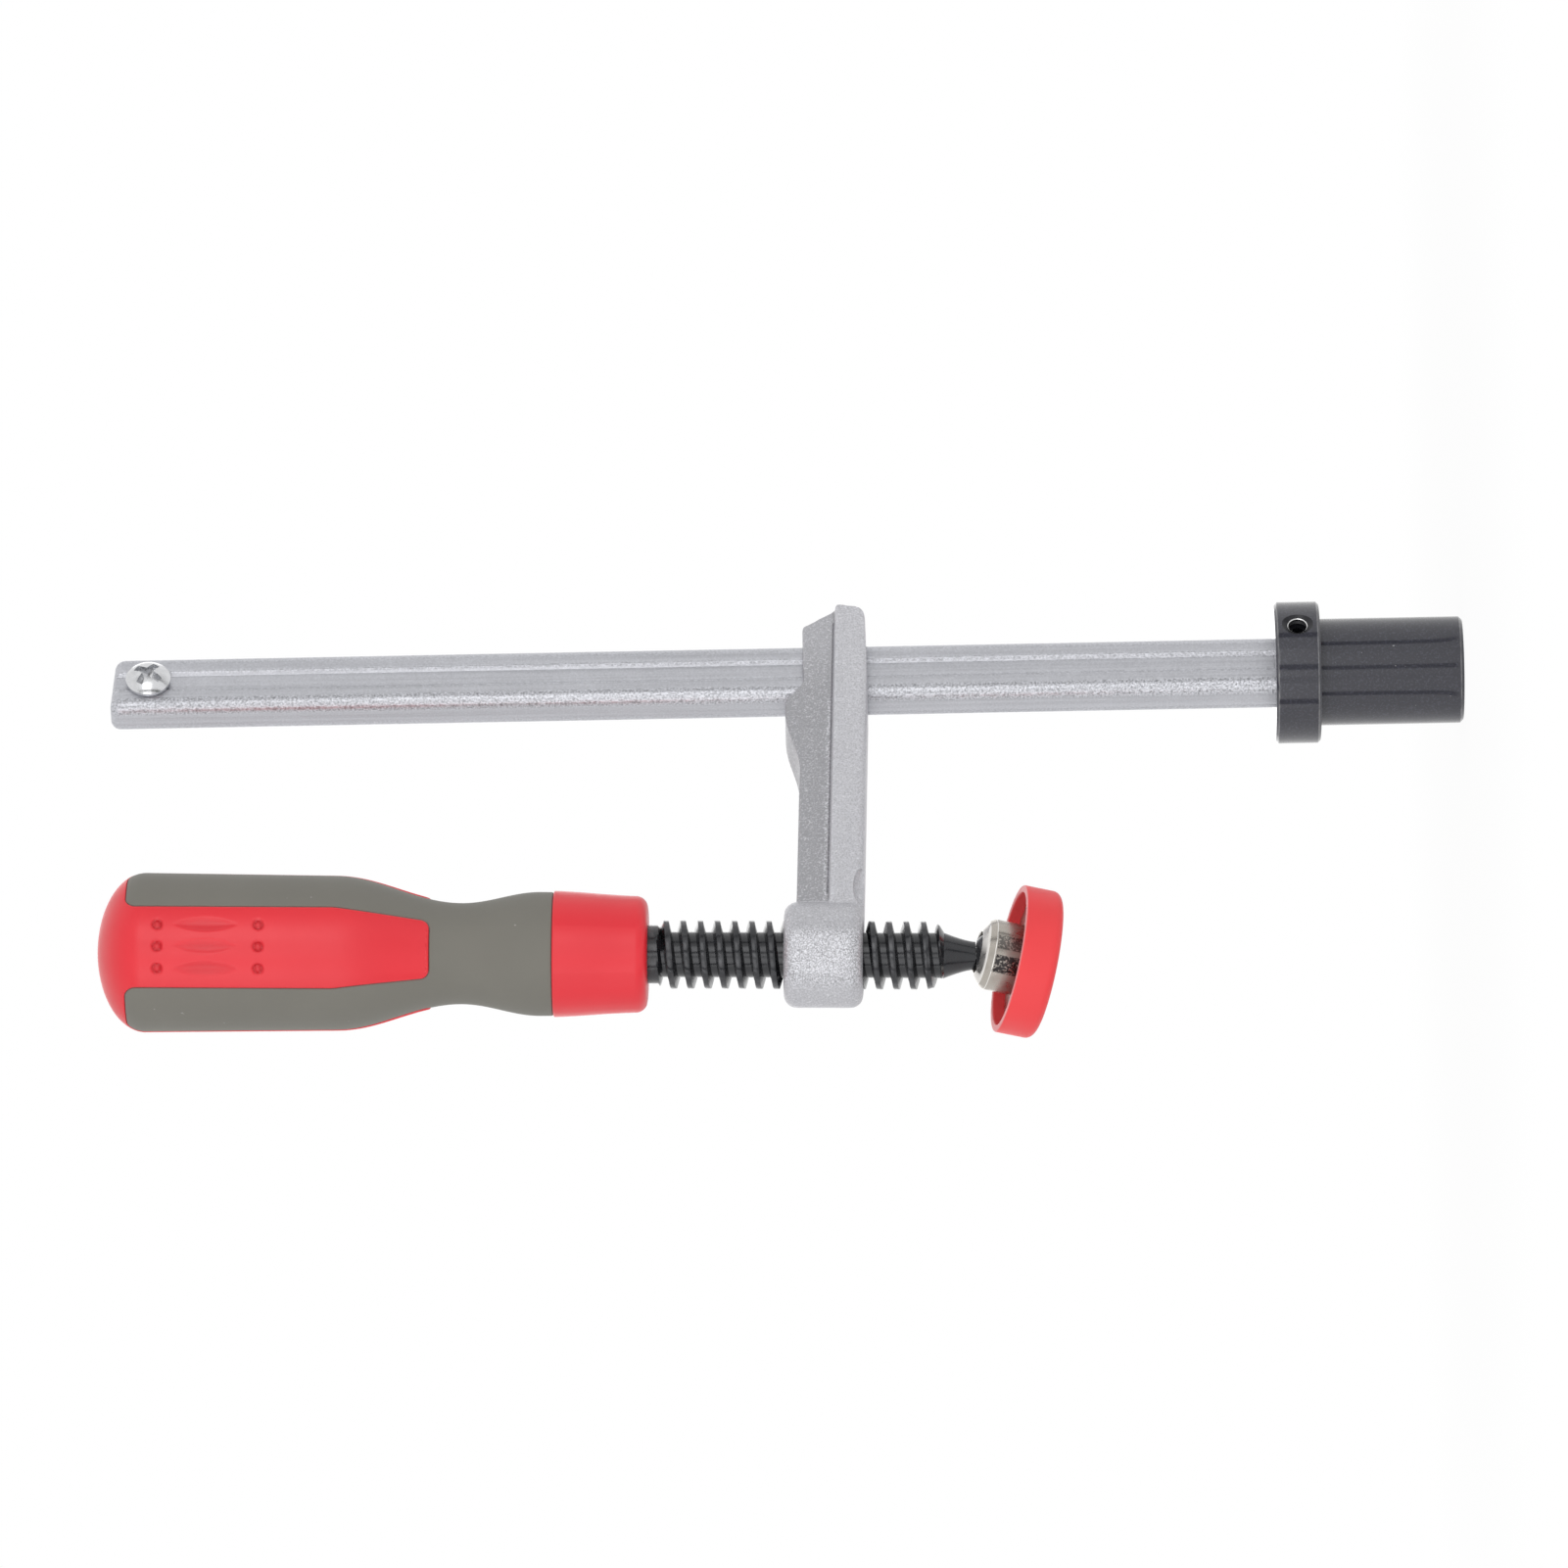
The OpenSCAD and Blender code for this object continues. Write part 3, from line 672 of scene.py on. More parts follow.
def silver_paint_finish(colours):
    """Silver paint over a rough forging, with fine sparkle, painted shade on the web and less on the boss, painted
    shade in the groove, a painted highlight line beside it and painted glints on the boss's front.
    """
    finish = Finish("silver_paint", colours.silver_paint, 0.5, Metallic=0.45)
    clouds = finish.noise(90, 3.0)
    finish.fleck(clouds, 0.4, 0.7, 0.25, 0.85)
    # Painted shade: the web darker than the flange, less towards the outer end, and the boss a little darker
    finish.tint(finish.attribute("web"), shaded(colours.silver_paint, 0.64))
    flakes, sparks = finish.noise(3300, 1.0), finish.noise(1900, 0.0)
    finish.fleck(flakes, 0.52, 0.75, 0.4, 1.45)
    finish.fleck(flakes, 0.48, 0.25, 0.4, 0.5)
    finish.fleck(sparks, 0.7, 0.8, 0.3, 1.6)
    # Painted highlight: a light speckled line on the web along the groove, where the fillet catches the light
    finish.fleck(finish.noise(2200, 1.0), 0.48, 0.62, 0.7, 1.3, finish.attribute("painted_glint"))
    # Painted shade in the groove between web and flange
    finish.tint(finish.times(finish.attribute("groove"), 0.3), shaded(colours.silver_paint, 0.25))
    # Painted glints: light and dark specks on the boss's front, in its highlight band
    grains, boss = finish.noise(4000, 1.0), finish.attribute("boss")
    finish.fleck(grains, 0.51, 0.66, 0.7, 1.4, boss)
    finish.fleck(grains, 0.47, 0.34, 0.7, 0.45, boss)
    finish.roughen(flakes, 0.3, 0.7, 0.52, 0.38)
    finish.bump(finish.noise(1500, 3.0), 0.35, 0.08 * MM)
    finish.bump(finish.noise(260, 2.0), 0.3, 0.2 * MM)
    return finish.material


def red_finish(name, red, roughness):
    """Red moulding with a soft gloss, faint flow marks, painted shade in the hollows and a painted highlight on thin
    edges.
    """
    finish = Finish(name, red, roughness)
    clouds = finish.noise(60, 3.0)
    finish.fleck(clouds, 0.4, 0.75, 0.35, 0.86)
    # Painted shade: the dots' rings and the almond dimples darker
    finish.tint(finish.times(finish.attribute("sunk"), 0.7), shaded(red, 0.6))
    # Painted highlight: a pale line along the cap's thin rim
    finish.tint(finish.times(finish.attribute("wear_and_glint"), 0.6), (0.9, 0.42, 0.43))
    finish.roughen(clouds, 0.3, 0.7, roughness - 0.05, roughness + 0.08)
    finish.bump(finish.noise(2200, 2.0), 0.08, 0.04 * MM)
    return finish.material


def grey_finish(colours):
    """Matte soft moulding with a fine grain and a few specks of dust."""
    finish = Finish("grey_rubber", colours.grey, 0.78, Sheen_Weight=0.15)
    clouds = finish.noise(70, 3.0)
    finish.fleck(clouds, 0.4, 0.75, 0.4, 1.14)
    dust = finish.noise(620, 1.0)
    finish.tint(finish.ramp(dust, 0.79, 0.83, 0, 0.6), (0.55, 0.54, 0.52))
    finish.bump(finish.noise(2600, 2.0), 0.2, 0.05 * MM)
    return finish.material


def nickel_finish(colours):
    """Nickel plating, cloudy, with painted dark reflections in speckled bands and a painted highlight on its edges."""
    finish = Finish("nickel", colours.nickel, 0.26, Metallic=1.0)
    clouds = finish.noise(420, 4.0)
    finish.fleck(clouds, 0.5, 0.8, 0.4, 0.5)
    spots = finish.ramp(finish.noise(2600, 1.0), 0.65, 0.5, 0.1, 0.95)
    # Painted reflections: dark speckled bands on the socket's side
    finish.tint(finish.times(finish.attribute("reflection_band"), spots), (0.035, 0.033, 0.036))
    # Painted highlight: the rounded edges lighter
    finish.tint(finish.ramp(finish.attribute("wear_and_glint"), 0.8, 1.0, 0, 0.9), (0.8, 0.78, 0.75))
    finish.roughen(clouds, 0.3, 0.7, 0.2, 0.4)
    finish.bump(finish.noise(1500, 2.0), 0.2, 0.05 * MM)
    return finish.material


# Rail and screws

def rail_section(sizes, width, thickness):
    """Outline of the rail, with a flute in each wide face."""
    w, t = width / 2, thickness / 2
    lip, floor = sizes.flute_width / 2, sizes.flute_width / 2 - sizes.flute_depth
    bed = t - sizes.flute_depth
    r, f = sizes.corner, sizes.flute_round
    near = [(-w, -t, r), (-lip, -t, f), (-floor, -bed, f), (floor, -bed, f), (lip, -t, f), (w, -t, r)]
    far = [(-x, -y, radius) for x, y, radius in near]
    return rounded(near + far, closed=True, steps=8)


def inset(outline, width, thickness, corner, depth):
    """Outline held inside the rail's section made smaller by a depth all round."""
    w, t = width / 2, thickness / 2
    moved = []
    for x, y, _ in outline:
        side, face = abs(x) - w + corner, abs(y) - t + corner
        if side > 0 and face > 0:
            shrink = 1 - depth / corner
            side, face = side * shrink, face * shrink
        side, face = min(side, corner - depth), min(face, corner - depth)
        moved.append((math.copysign(w - corner + side, x), math.copysign(t - corner + face, y)))
    return moved


def build_rail(sizes, colours):
    """Rail: its section swept up to a rounded free end, with the stop screw's hole."""
    low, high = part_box("rail")
    width, thickness = high[0] - low[0], high[1] - low[1]
    section = rail_section(sizes, width, thickness)
    rings = [(low[2], 0.0), (0.0, 0.0)]
    steps = 6
    for step in range(steps + 1):
        angle = math.pi / 2 * step / steps
        rings.append((high[2] - sizes.end_round * (1 - math.sin(angle)), sizes.end_round * (1 - math.cos(angle))))
    count = len(section)
    points = []
    for z, depth in rings:
        for x, y in inset(section, width, thickness, sizes.corner, depth):
            slant = sizes.end_slant * (x - low[0]) / width if z > 0 else 0
            points.append((x, y, z - slant))
    faces = [tuple(range(count))[::-1], tuple(range(len(points) - count, len(points)))]
    faces += [quad(ring, i, count) for ring in range(len(rings) - 1) for i in range(count)]
    piece = add_piece("fluted_rail", points, faces)
    # The corner between the spindle's side and the stop screw's face gets the strongest grain bump and painted glints;
    # the other corners and the flute's edges get less
    grain_and_glint = {sizes.corner: 0.25, sizes.flute_round: 0.7}
    marks = [1.0 if radius == sizes.corner and x < 0 and y < 0 else grain_and_glint.get(radius, 0.0)
             for x, y, radius in section]
    mark_points(piece, "wear_and_glint", marks * len(rings))
    hole, through = sizes.screw_thread / 2, high[1] * 2
    drill = lathe("drill", [(0, -through, 0), (hole, -through, 0), (hole, through, 0), (0, through, 0)], 48)
    drill.data.transform(Matrix.Translation((0, 0, high[2] - sizes.screw_inset)) @ TO_FRONT)
    carve(piece, drill)
    smooth(piece, 28)
    dress(piece, "base", "rail", zinc_finish(colours))


def tapered_bar(name, long, wide, depth, taper):
    """Bar that narrows downwards, for one arm of a cross recess."""
    points = []
    for z, shrink in ((-depth, taper), (depth, -taper)):
        x, y = long / 2 - shrink, wide / 2 - shrink / 2
        points += [(-x, -y, z), (x, -y, z), (x, y, z), (-x, y, z)]
    faces = [(3, 2, 1, 0), (4, 5, 6, 7), (0, 1, 5, 4), (1, 2, 6, 5), (2, 3, 7, 6), (3, 0, 4, 7)]
    return add_piece(name, points, faces)


def build_stop_screw(sizes, colours):
    """Pan-head stop screw with a cross recess, standing on the rail's near face."""
    low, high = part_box("rail")
    edge, end_gap = 0.4 * MM, 0.4 * MM
    recess_depth, recess_taper = 1.5 * MM, 0.55 * MM
    shank, head = sizes.screw_thread / 2 - CLEARANCE, sizes.head / 2
    end = low[1] - high[1] + end_gap
    crown = sizes.head_height - sizes.head_rim
    dome = (head * head + crown * crown) / (2 * crown)
    profile = [(0, end, 0), (shank, end, 0), (shank, 0, 0)]
    profile += rounded([(shank, 0, 0), (head, 0, edge), (head, sizes.head_rim, 0)], steps=4)[1:]
    reach = math.asin(head / dome)
    steps = 14
    for step in range(1, steps + 1):
        angle = reach * (1 - step / steps)
        profile.append((dome * math.sin(angle), sizes.head_height - dome * (1 - math.cos(angle)), 0))
    piece = lathe("stop_screw_head", profile, 72)
    for quarter in range(2):
        bar = tapered_bar("recess", sizes.recess, sizes.recess_width, recess_depth, recess_taper)
        bar.data.transform(Matrix.Translation((0, 0, sizes.head_height))
                           @ Matrix.Rotation(sizes.recess_turn + quarter * math.pi / 2, 4, "Z"))
        carve(piece, bar)
    piece.data.transform(Matrix.Translation((0, low[1], high[2] - sizes.screw_inset)) @ TO_FRONT)
    smooth(piece)
    dress(piece, "base", "stop_screw", bright_zinc_finish(colours))


def build_post(sizes, rail, colours):
    """Bench post: turned collar and pin, with the rail's socket and the tapped hole of the set screw."""
    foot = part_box("bench_post")[0][2]
    half_width, half_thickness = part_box("rail")[1][:2]
    post, collar, top = sizes.post / 2, sizes.collar / 2, sizes.collar_height
    edge, chamfer = sizes.edge, sizes.chamfer
    piece = lathe("bench_post_turned", rounded([
        (0, foot, 0), (post - sizes.post_chamfer, foot, 0), (post, foot + sizes.post_chamfer, edge),
        (post, 0, 0), (collar - chamfer, 0, 0), (collar, chamfer, edge), (collar, top - chamfer, edge),
        (collar - chamfer, top, 0), (0, top, 0)]), 160)
    steel = black_steel_finish(colours)
    piece.data.materials.append(steel)
    w, t, r = half_width + CLEARANCE, half_thickness + CLEARANCE, rail.corner + CLEARANCE
    socket = prism("socket", rounded([(-w, -t, r), (w, -t, r), (w, t, r), (-w, t, r)], closed=True),
                   -sizes.foot, top * 2)
    socket.data.materials.append(steel)
    carve(piece, socket)
    carve(piece, tapped_hole(sizes, collar, black_screw_finish(colours), bare_steel_glint_finish(colours)))
    smooth(piece, 30)
    dress(piece, "base", "bench_post")


def tapped_hole(sizes, collar, hole_shade, bare):
    """Cutter for the set screw's hole: a countersink and walls in painted shade, with a bright bare-steel rim over
    turned thread grooves, broken at the bottom as a painted highlight.
    """
    radius, flare = sizes.set_thread / 2, 1.3
    crest, groove = radius - 0.2 * MM, radius + 0.1 * MM
    rim, rim_width, rim_height, glint_break = crest - 0.15 * MM, 0.14 * MM, 0.1 * MM, -0.88
    mouth, outside = collar - sizes.countersink, collar * 2
    profile = [(0, 0, 0)]
    depth = 0.2 * MM
    while depth < mouth - sizes.set_pitch:
        profile += [(crest, depth, 0), (groove, depth + sizes.set_pitch / 2, 0)]
        depth += sizes.set_pitch
    wide = radius + sizes.countersink * flare
    profile += [(rim, mouth - rim_height, 0), (rim + rim_width, mouth, 0), (wide, collar, 0), (wide, outside, 0),
                (0, outside, 0)]
    cutter = lathe("tapped_hole", profile, 64)
    # The hole's walls take the set screw's darker black as painted shade
    cutter.data.materials.append(hole_shade)
    cutter.data.materials.append(bare)
    # The rim is bare steel except at the bottom, where the painted highlight breaks off
    for face in cutter.data.polygons:
        x, y, height = face.center
        if mouth - rim_height < height < mouth and x > glint_break * math.hypot(x, y):
            face.material_index = 1
    cutter.data.transform(Matrix.Translation((0, 0, sizes.collar_height / 2)) @ TO_FRONT)
    return cutter


# Arm

def arm_outline(sizes):
    """Side view of the web: sloped outer end, crown over the rail, heel behind it and slope to the boss."""
    slot = sizes.slot_width / 2
    heel_at = sizes.heel_start - sizes.heel_rise
    slope_at = heel_at - sizes.heel
    steps = 12
    points = [(-sizes.reach, sizes.flange_height / 2), (slot + sizes.end_wall, sizes.flange_height / 2),
              (slot + sizes.end_wall, sizes.flange_height),
              (slot + sizes.crown_wall, sizes.crown_height + sizes.end_lift / 2)]
    for start, end, low, high in ((sizes.heel_start, heel_at, sizes.crown_height, sizes.heel_height),
                                  (slope_at, slope_at - sizes.heel_slope, sizes.heel_height, sizes.web_height)):
        for step in range(steps + 1):
            points.append((start + (end - start) * step / steps, ease(low, high, step / steps)))
    points.append((-sizes.reach, sizes.web_height))
    return points


def build_arm(sizes, colours):
    """Sliding arm: flange, web and boss merged and softened like a forging, then cut for rail and spindle."""
    slot = sizes.slot_width / 2
    end = slot + sizes.end_wall
    half, low_edge, high_edge = sizes.flange / 2, 1.2 * MM, 0.5 * MM
    flange = rounded([(-half, 0, low_edge), (half, 0, low_edge), (half, sizes.flange_height, high_edge),
                      (-half, sizes.flange_height, high_edge)], closed=True)
    piece = prism("forged_arm", flange, -sizes.reach, end)
    # Lays a prism along the arm, with its outline upright across it
    turn_over = Matrix(((0, 0, 1, 0), (1, 0, 0, 0), (0, 1, 0, 0), (0, 0, 0, 1)))
    piece.data.transform(turn_over)
    carve(piece, end_cutter(sizes))
    web = prism("web", arm_outline(sizes), -sizes.web / 2, sizes.web / 2, "XZ")
    draft = (1 - sizes.web_top / sizes.web) / (sizes.heel_height - sizes.flange_height)
    for point in web.data.vertices:
        point.co.y *= 1 - draft * (point.co.z - sizes.flange_height)
    merge(piece, web)
    boss = lathe("boss", rounded([(0, 0, 0), (sizes.boss / 2, 0, sizes.boss_edge),
                                  (sizes.boss / 2, sizes.boss_length, sizes.boss_edge), (0, sizes.boss_length, 0)]))
    boss.data.transform(Matrix.Translation((-sizes.reach, 0, 0)))
    merge(piece, boss)
    remesh = piece.modifiers.new("forging", "REMESH")
    remesh.mode = "VOXEL"
    remesh.voxel_size = sizes.voxel
    softening = piece.modifiers.new("softening", "SMOOTH")
    softening.factor = 0.5
    softening.iterations = sizes.smoothing
    bake(piece)
    tall = sizes.heel_height * 2
    carve(piece, box("slot", (-slot, -sizes.slot_thickness / 2, -tall), (slot, sizes.slot_thickness / 2, tall)))
    bore, lip = sizes.bore / 2, 0.5 * MM
    top = sizes.boss_length
    cutter = lathe("bore", [(0, -top, 0), (bore + lip + top, -top, 0), (bore, lip, 0), (bore, top - lip, 0),
                            (bore + lip + top, 2 * top, 0), (0, 2 * top, 0)])
    cutter.data.transform(Matrix.Translation((-sizes.reach, 0, 0)))
    carve(piece, cutter)
    carve(piece, bite_cutter(sizes))
    height, cut = sizes.flange_height + GROOVE_UP, sizes.groove
    boss_gap, end_gap = 0.4 * MM, 3.5 * MM
    for side in (-1, 1):
        middle = side * (sizes.web / 2 + GROOVE_OUT)
        outline = [(middle - cut, height), (middle, height - cut), (middle + cut, height), (middle, height + cut)]
        groove = prism("groove", outline, -sizes.reach + sizes.boss / 2 + boss_gap, end - end_gap)
        groove.data.transform(turn_over)
        carve(piece, groove)
    mark_arm_light_and_shade(piece, sizes)
    smooth(piece, 40)
    piece.data.transform(ON_SPINDLE @ Matrix.Translation((sizes.reach, 0, sizes.rise)))
    dress(piece, "arm", "sliding_arm", silver_paint_finish(colours))


def end_cutter(sizes):
    """Cutter for the lifted underside and the slanted, rounded corner of the arm's outer end."""
    start, end = -sizes.slot_width / 2, sizes.slot_width / 2 + sizes.end_wall
    outline = rounded([(start, 0, 0), (end - sizes.end_slant, sizes.end_lift, sizes.end_round),
                       (end, sizes.flange_height, 0), (end, sizes.flange_height * 2, 0)])
    outline += [(2 * end, sizes.flange_height * 2), (2 * end, -end), (start, -end)]
    return prism("end_cutter", outline[::-1], -sizes.flange, sizes.flange, "XZ")


def mark_arm_light_and_shade(piece, sizes):
    """Marks painted light on the arm: painted shade on the web and less on the boss, painted glints on the boss's
    front, painted shade in the groove and a painted highlight line along it.
    """
    names = ("web", "groove", "painted_glint", "boss")
    marks = {name: [0.0] * len(piece.data.vertices) for name in names}
    web_edge, web_foot = sizes.web / 2 + (sizes.flange - sizes.web) / 6, sizes.flange_height - 0.2 * MM
    boss_end, boss_shade = sizes.boss / 2 + 0.3 * MM, 0.3
    glint_reach, glint_fade = math.radians(42), math.radians(14)
    fade_start, fade_length, fade_share = -8 * MM, 14 * MM, 0.4
    line_reach, line_end = sizes.groove + 0.55 * MM, sizes.heel_start - sizes.heel_rise
    for i, point in enumerate(piece.data.vertices):
        x, y, z = point.co
        if math.hypot(x + sizes.reach, y) < boss_end:
            marks["web"][i] = boss_shade
            # The boss's front gets painted glints, fading at its sides
            aside = math.remainder(math.atan2(y, x + sizes.reach) - sizes.boss_glint_turn, 2 * math.pi)
            marks["boss"][i] = min(max((glint_reach - abs(aside)) / glint_fade, 0), 1)
            continue
        if z < sizes.flange_height - 0.5 * MM:
            continue
        away = math.hypot(abs(y) - sizes.web / 2 - GROOVE_OUT, z - sizes.flange_height - GROOVE_UP)
        # Points in the groove get painted shade
        marks["groove"][i] = float(away < sizes.groove)
        # Painted shade on the web, fading towards the outer end
        if abs(y) < web_edge and z > web_foot:
            marks["web"][i] = 1.0 - fade_share * min(max((x - fade_start) / fade_length, 0), 1)
            # Points on the web beside the groove, from the heel towards the boss, get the painted highlight line
            marks["painted_glint"][i] = float(away < line_reach and x < line_end)
    for name in names:
        mark_points(piece, name, marks[name])


def bite_cutter(sizes):
    """Cutter for the shallow milled bite at the flange's near edge, beside the boss."""
    steps = 16
    profile = [(math.sin(math.pi * i / steps), -math.cos(math.pi * i / steps), 0) for i in range(steps + 1)]
    cutter = lathe("bite", profile, 48)
    place = Vector((-sizes.reach + sizes.boss / 2 + sizes.bite / 16, -sizes.flange / 2, 0))
    stretch = Matrix.Diagonal((sizes.bite / 2, sizes.bite_depth, sizes.bite_height, 1))
    cutter.data.transform(Matrix.Translation(place) @ stretch)
    return cutter


# Spindle

def thread_rows(sizes):
    """Rows of one turn of the thread: share of the lead, radius and whether the row is on the crest."""
    crest, root = sizes.crest / 2, sizes.root / 2
    land, flank = sizes.crest_land / sizes.lead, sizes.flank / sizes.lead
    edge, drop = 0.04, 0.05 * MM
    middle = (crest + root) / 2
    return [(0.0, crest - drop, 1), (edge, crest, 1), (land / 2, crest, 1), (land - edge, crest, 1),
            (land, crest - drop, 1), (land + flank * 0.5, middle, 0), (land + flank, root, 0),
            (land + flank + 0.5 * (1 - land - 2 * flank), root, 0), (1 - flank, root, 0), (1 - flank * 0.5, middle, 0)]


def build_spindle(sizes, colours):
    """Spindle: a right-hand trapezoidal thread along its helix, a hollow neck and the ball's stub."""
    segments = 72
    ridge_slope, neck_slope, neck_curve = 0.28, 1.6, 1.45
    shank_fade, overlap = 0.4 * MM, 0.6 * MM
    rows = thread_rows(sizes)
    turns = math.ceil((sizes.thread_end - sizes.thread_phase) / sizes.lead) + 1
    points, marks = [], []
    for number in range(turns):
        for share, radius, wear_and_glint in rows:
            for i in range(segments):
                angle = 2 * math.pi * i / segments
                height = sizes.thread_phase + sizes.lead * (number + share + i / segments)
                height = min(max(height, sizes.thread_start), sizes.thread_end)
                above = height - sizes.thread_start
                reach = min(radius, sizes.ridge / 2 + ridge_slope * above, sizes.neck / 2 + neck_slope * above)
                plain = min(max((height - sizes.shank_at) / shank_fade, 0), 1)
                reach += (sizes.shank / 2 - reach) * plain
                points.append((reach * math.cos(angle), reach * math.sin(angle), height))
                marks.append(wear_and_glint)
    faces = []
    total = turns * len(rows)
    for row in range(total - 1):
        for i in range(segments):
            step = len(rows) if i + 1 == segments else 0
            j = (i + 1) % segments
            if row + 1 + step >= total:
                continue
            faces.append((row * segments + i, (row + step) * segments + j,
                          (row + 1 + step) * segments + j, (row + 1) * segments + i))
    piece = add_piece("threaded_spindle", points, faces)
    mark_points(piece, "wear_and_glint", marks)
    neck = [(0, sizes.thread_start + overlap, 0), (sizes.neck / 2, sizes.thread_start + overlap, 0)]
    drop = (sizes.neck - sizes.neck_end) / 2
    steps = 12
    for step in range(steps + 1):
        share = step / steps
        neck.append((sizes.neck_end / 2 + drop * (1 - share) ** neck_curve,
                     sizes.thread_start + (sizes.neck_foot - sizes.thread_start) * share, 0))
    neck += [(sizes.stub / 2, sizes.neck_foot, 0), (sizes.stub / 2, 0, 0), (0, 0, 0)]
    merge(piece, lathe("neck", neck[::-1], segments))
    smooth(piece, 38)
    piece.data.transform(ON_SPINDLE)
    dress(piece, "spindle", "spindle", spindle_finish(colours))


# Handle

def handle_radius(sizes, s):
    """Radius of the handle's skin at a distance from its front end."""
    dome_at = sizes.whole - sizes.dome
    if s < sizes.bulge_at:
        return ease(sizes.front, sizes.bulge, s / sizes.bulge_at) / 2
    if s < sizes.waist_at:
        return ease(sizes.bulge, sizes.waist, (s - sizes.bulge_at) / (sizes.waist_at - sizes.bulge_at)) / 2
    if s < sizes.palm_at:
        return ease(sizes.waist, sizes.palm_front, (s - sizes.waist_at) / (sizes.palm_at - sizes.waist_at)) / 2
    if s < dome_at:
        share = (s - sizes.palm_at) / (dome_at - sizes.palm_at)
        return (sizes.palm_front + (sizes.palm - sizes.palm_front) * share) / 2
    return sizes.palm / 2 * math.sqrt(max(0, 1 - ((s - dome_at) / sizes.dome) ** 2))


def panel_edge(sizes, s):
    """Arc from a panel's middle to its edge: round front corners, a taper, and a flare round the fingers' tips."""
    corner_at = sizes.panel_at + sizes.panel_corner
    share = min(max((s - corner_at) / (sizes.palm_at - corner_at), 0), 1)
    half = sizes.panel_front + (sizes.panel_palm - sizes.panel_front) * share
    radius = handle_radius(sizes, s)
    return (radius * math.asin(half / radius) - rounding(s - sizes.panel_at, sizes.panel_corner)
            + rounding(sizes.finger_end - s, sizes.finger_round))


def panel_edge_turn(sizes, s):
    """Angle from a panel's middle to its edge, kept constant ahead of the panel and behind the fingers."""
    s = min(max(s, sizes.panel_at), sizes.finger_end)
    return panel_edge(sizes, s) / handle_radius(sizes, s)


def grip_depth(sizes, angle, s):
    """Distance of a point on the skin inside the grip, negative on the red parts."""
    radius = handle_radius(sizes, s)
    across = radius * abs(angle)
    corner_at = sizes.panel_at + sizes.panel_corner
    flare_at = sizes.finger_end - sizes.finger_round
    if s <= sizes.front_length or s >= sizes.finger_end + sizes.panel_edge:
        return min(s - sizes.front_length, sizes.finger_end - s)
    if s < corner_at:
        side = across - radius * math.asin(sizes.panel_front / radius) + sizes.panel_corner
        ahead = math.hypot(side, corner_at - s) - sizes.panel_corner if side > 0 else sizes.panel_at - s
    elif s < flare_at:
        ahead = across - panel_edge(sizes, s)
    else:
        side = radius * math.asin(sizes.panel_palm / radius) + sizes.finger_round - across
        ahead = sizes.finger_round - math.hypot(side, s - flare_at) if side > 0 else sizes.finger_end - s
    return min(ahead, s - sizes.front_length, sizes.finger_end - s)


def ornament(sizes, angle, s):
    """Height and painted shade of the ornament on a panel: three almond dimples, each between two ringed dots."""
    along = s - sizes.ornament_at
    if abs(along) > sizes.dot_reach + 2 * sizes.dot:
        return 0.0, 0.0
    radius = handle_radius(sizes, s)
    height, shade = 0.0, 0.0
    ring_wall, knob_reach, knob_light, dimple_shade = 0.22, 0.62, 0.6, 0.45
    for row in (-1, 0, 1):
        across = radius * (angle - math.asin(row * sizes.ornament_pitch / radius))
        away = math.hypot(across, abs(along) - sizes.dot_reach) / sizes.dot
        if away < 1:
            ring = min(1, (1 - away) / ring_wall)
            knob = max(0, 1 - (away / knob_reach) ** 2)
            height += sizes.dot_depth * (knob - ring)
            shade += ring - knob_light * knob
        share = (along - sizes.dimple_shift) / (sizes.dimple / 2)
        if abs(share) < 1:
            offset = across / (sizes.dimple_width / 2 * (1 - share * share))
            if abs(offset) < 1:
                hollow = (1 - share * share) * (1 - offset * offset)
                height -= sizes.dimple_depth * hollow
                shade += dimple_shade * hollow
    return height, shade


def core_turns(sizes, s):
    """Angles of one sector's columns: close together at the panel's edges, even between them."""
    radius = max(handle_radius(sizes, s), sizes.bore / 2)
    edge = panel_edge_turn(sizes, s)
    lips = [depth / radius for depth in PANEL_LIP]
    inner = edge - lips[-1]
    count = 58
    thirds = (0.0, 0.33, 0.66)
    panel = [-edge + lip for lip in lips]
    panel += [-inner + 2 * inner * i / count for i in range(1, count)]
    panel += [edge - lip for lip in reversed(lips)]
    foot = PANEL_FOOT / radius
    outer = SECTOR / 2 - edge - foot
    return ([-SECTOR / 2] + [-edge - foot - outer * share for share in reversed(thirds)] + panel
            + [edge + foot + outer * share for share in thirds])


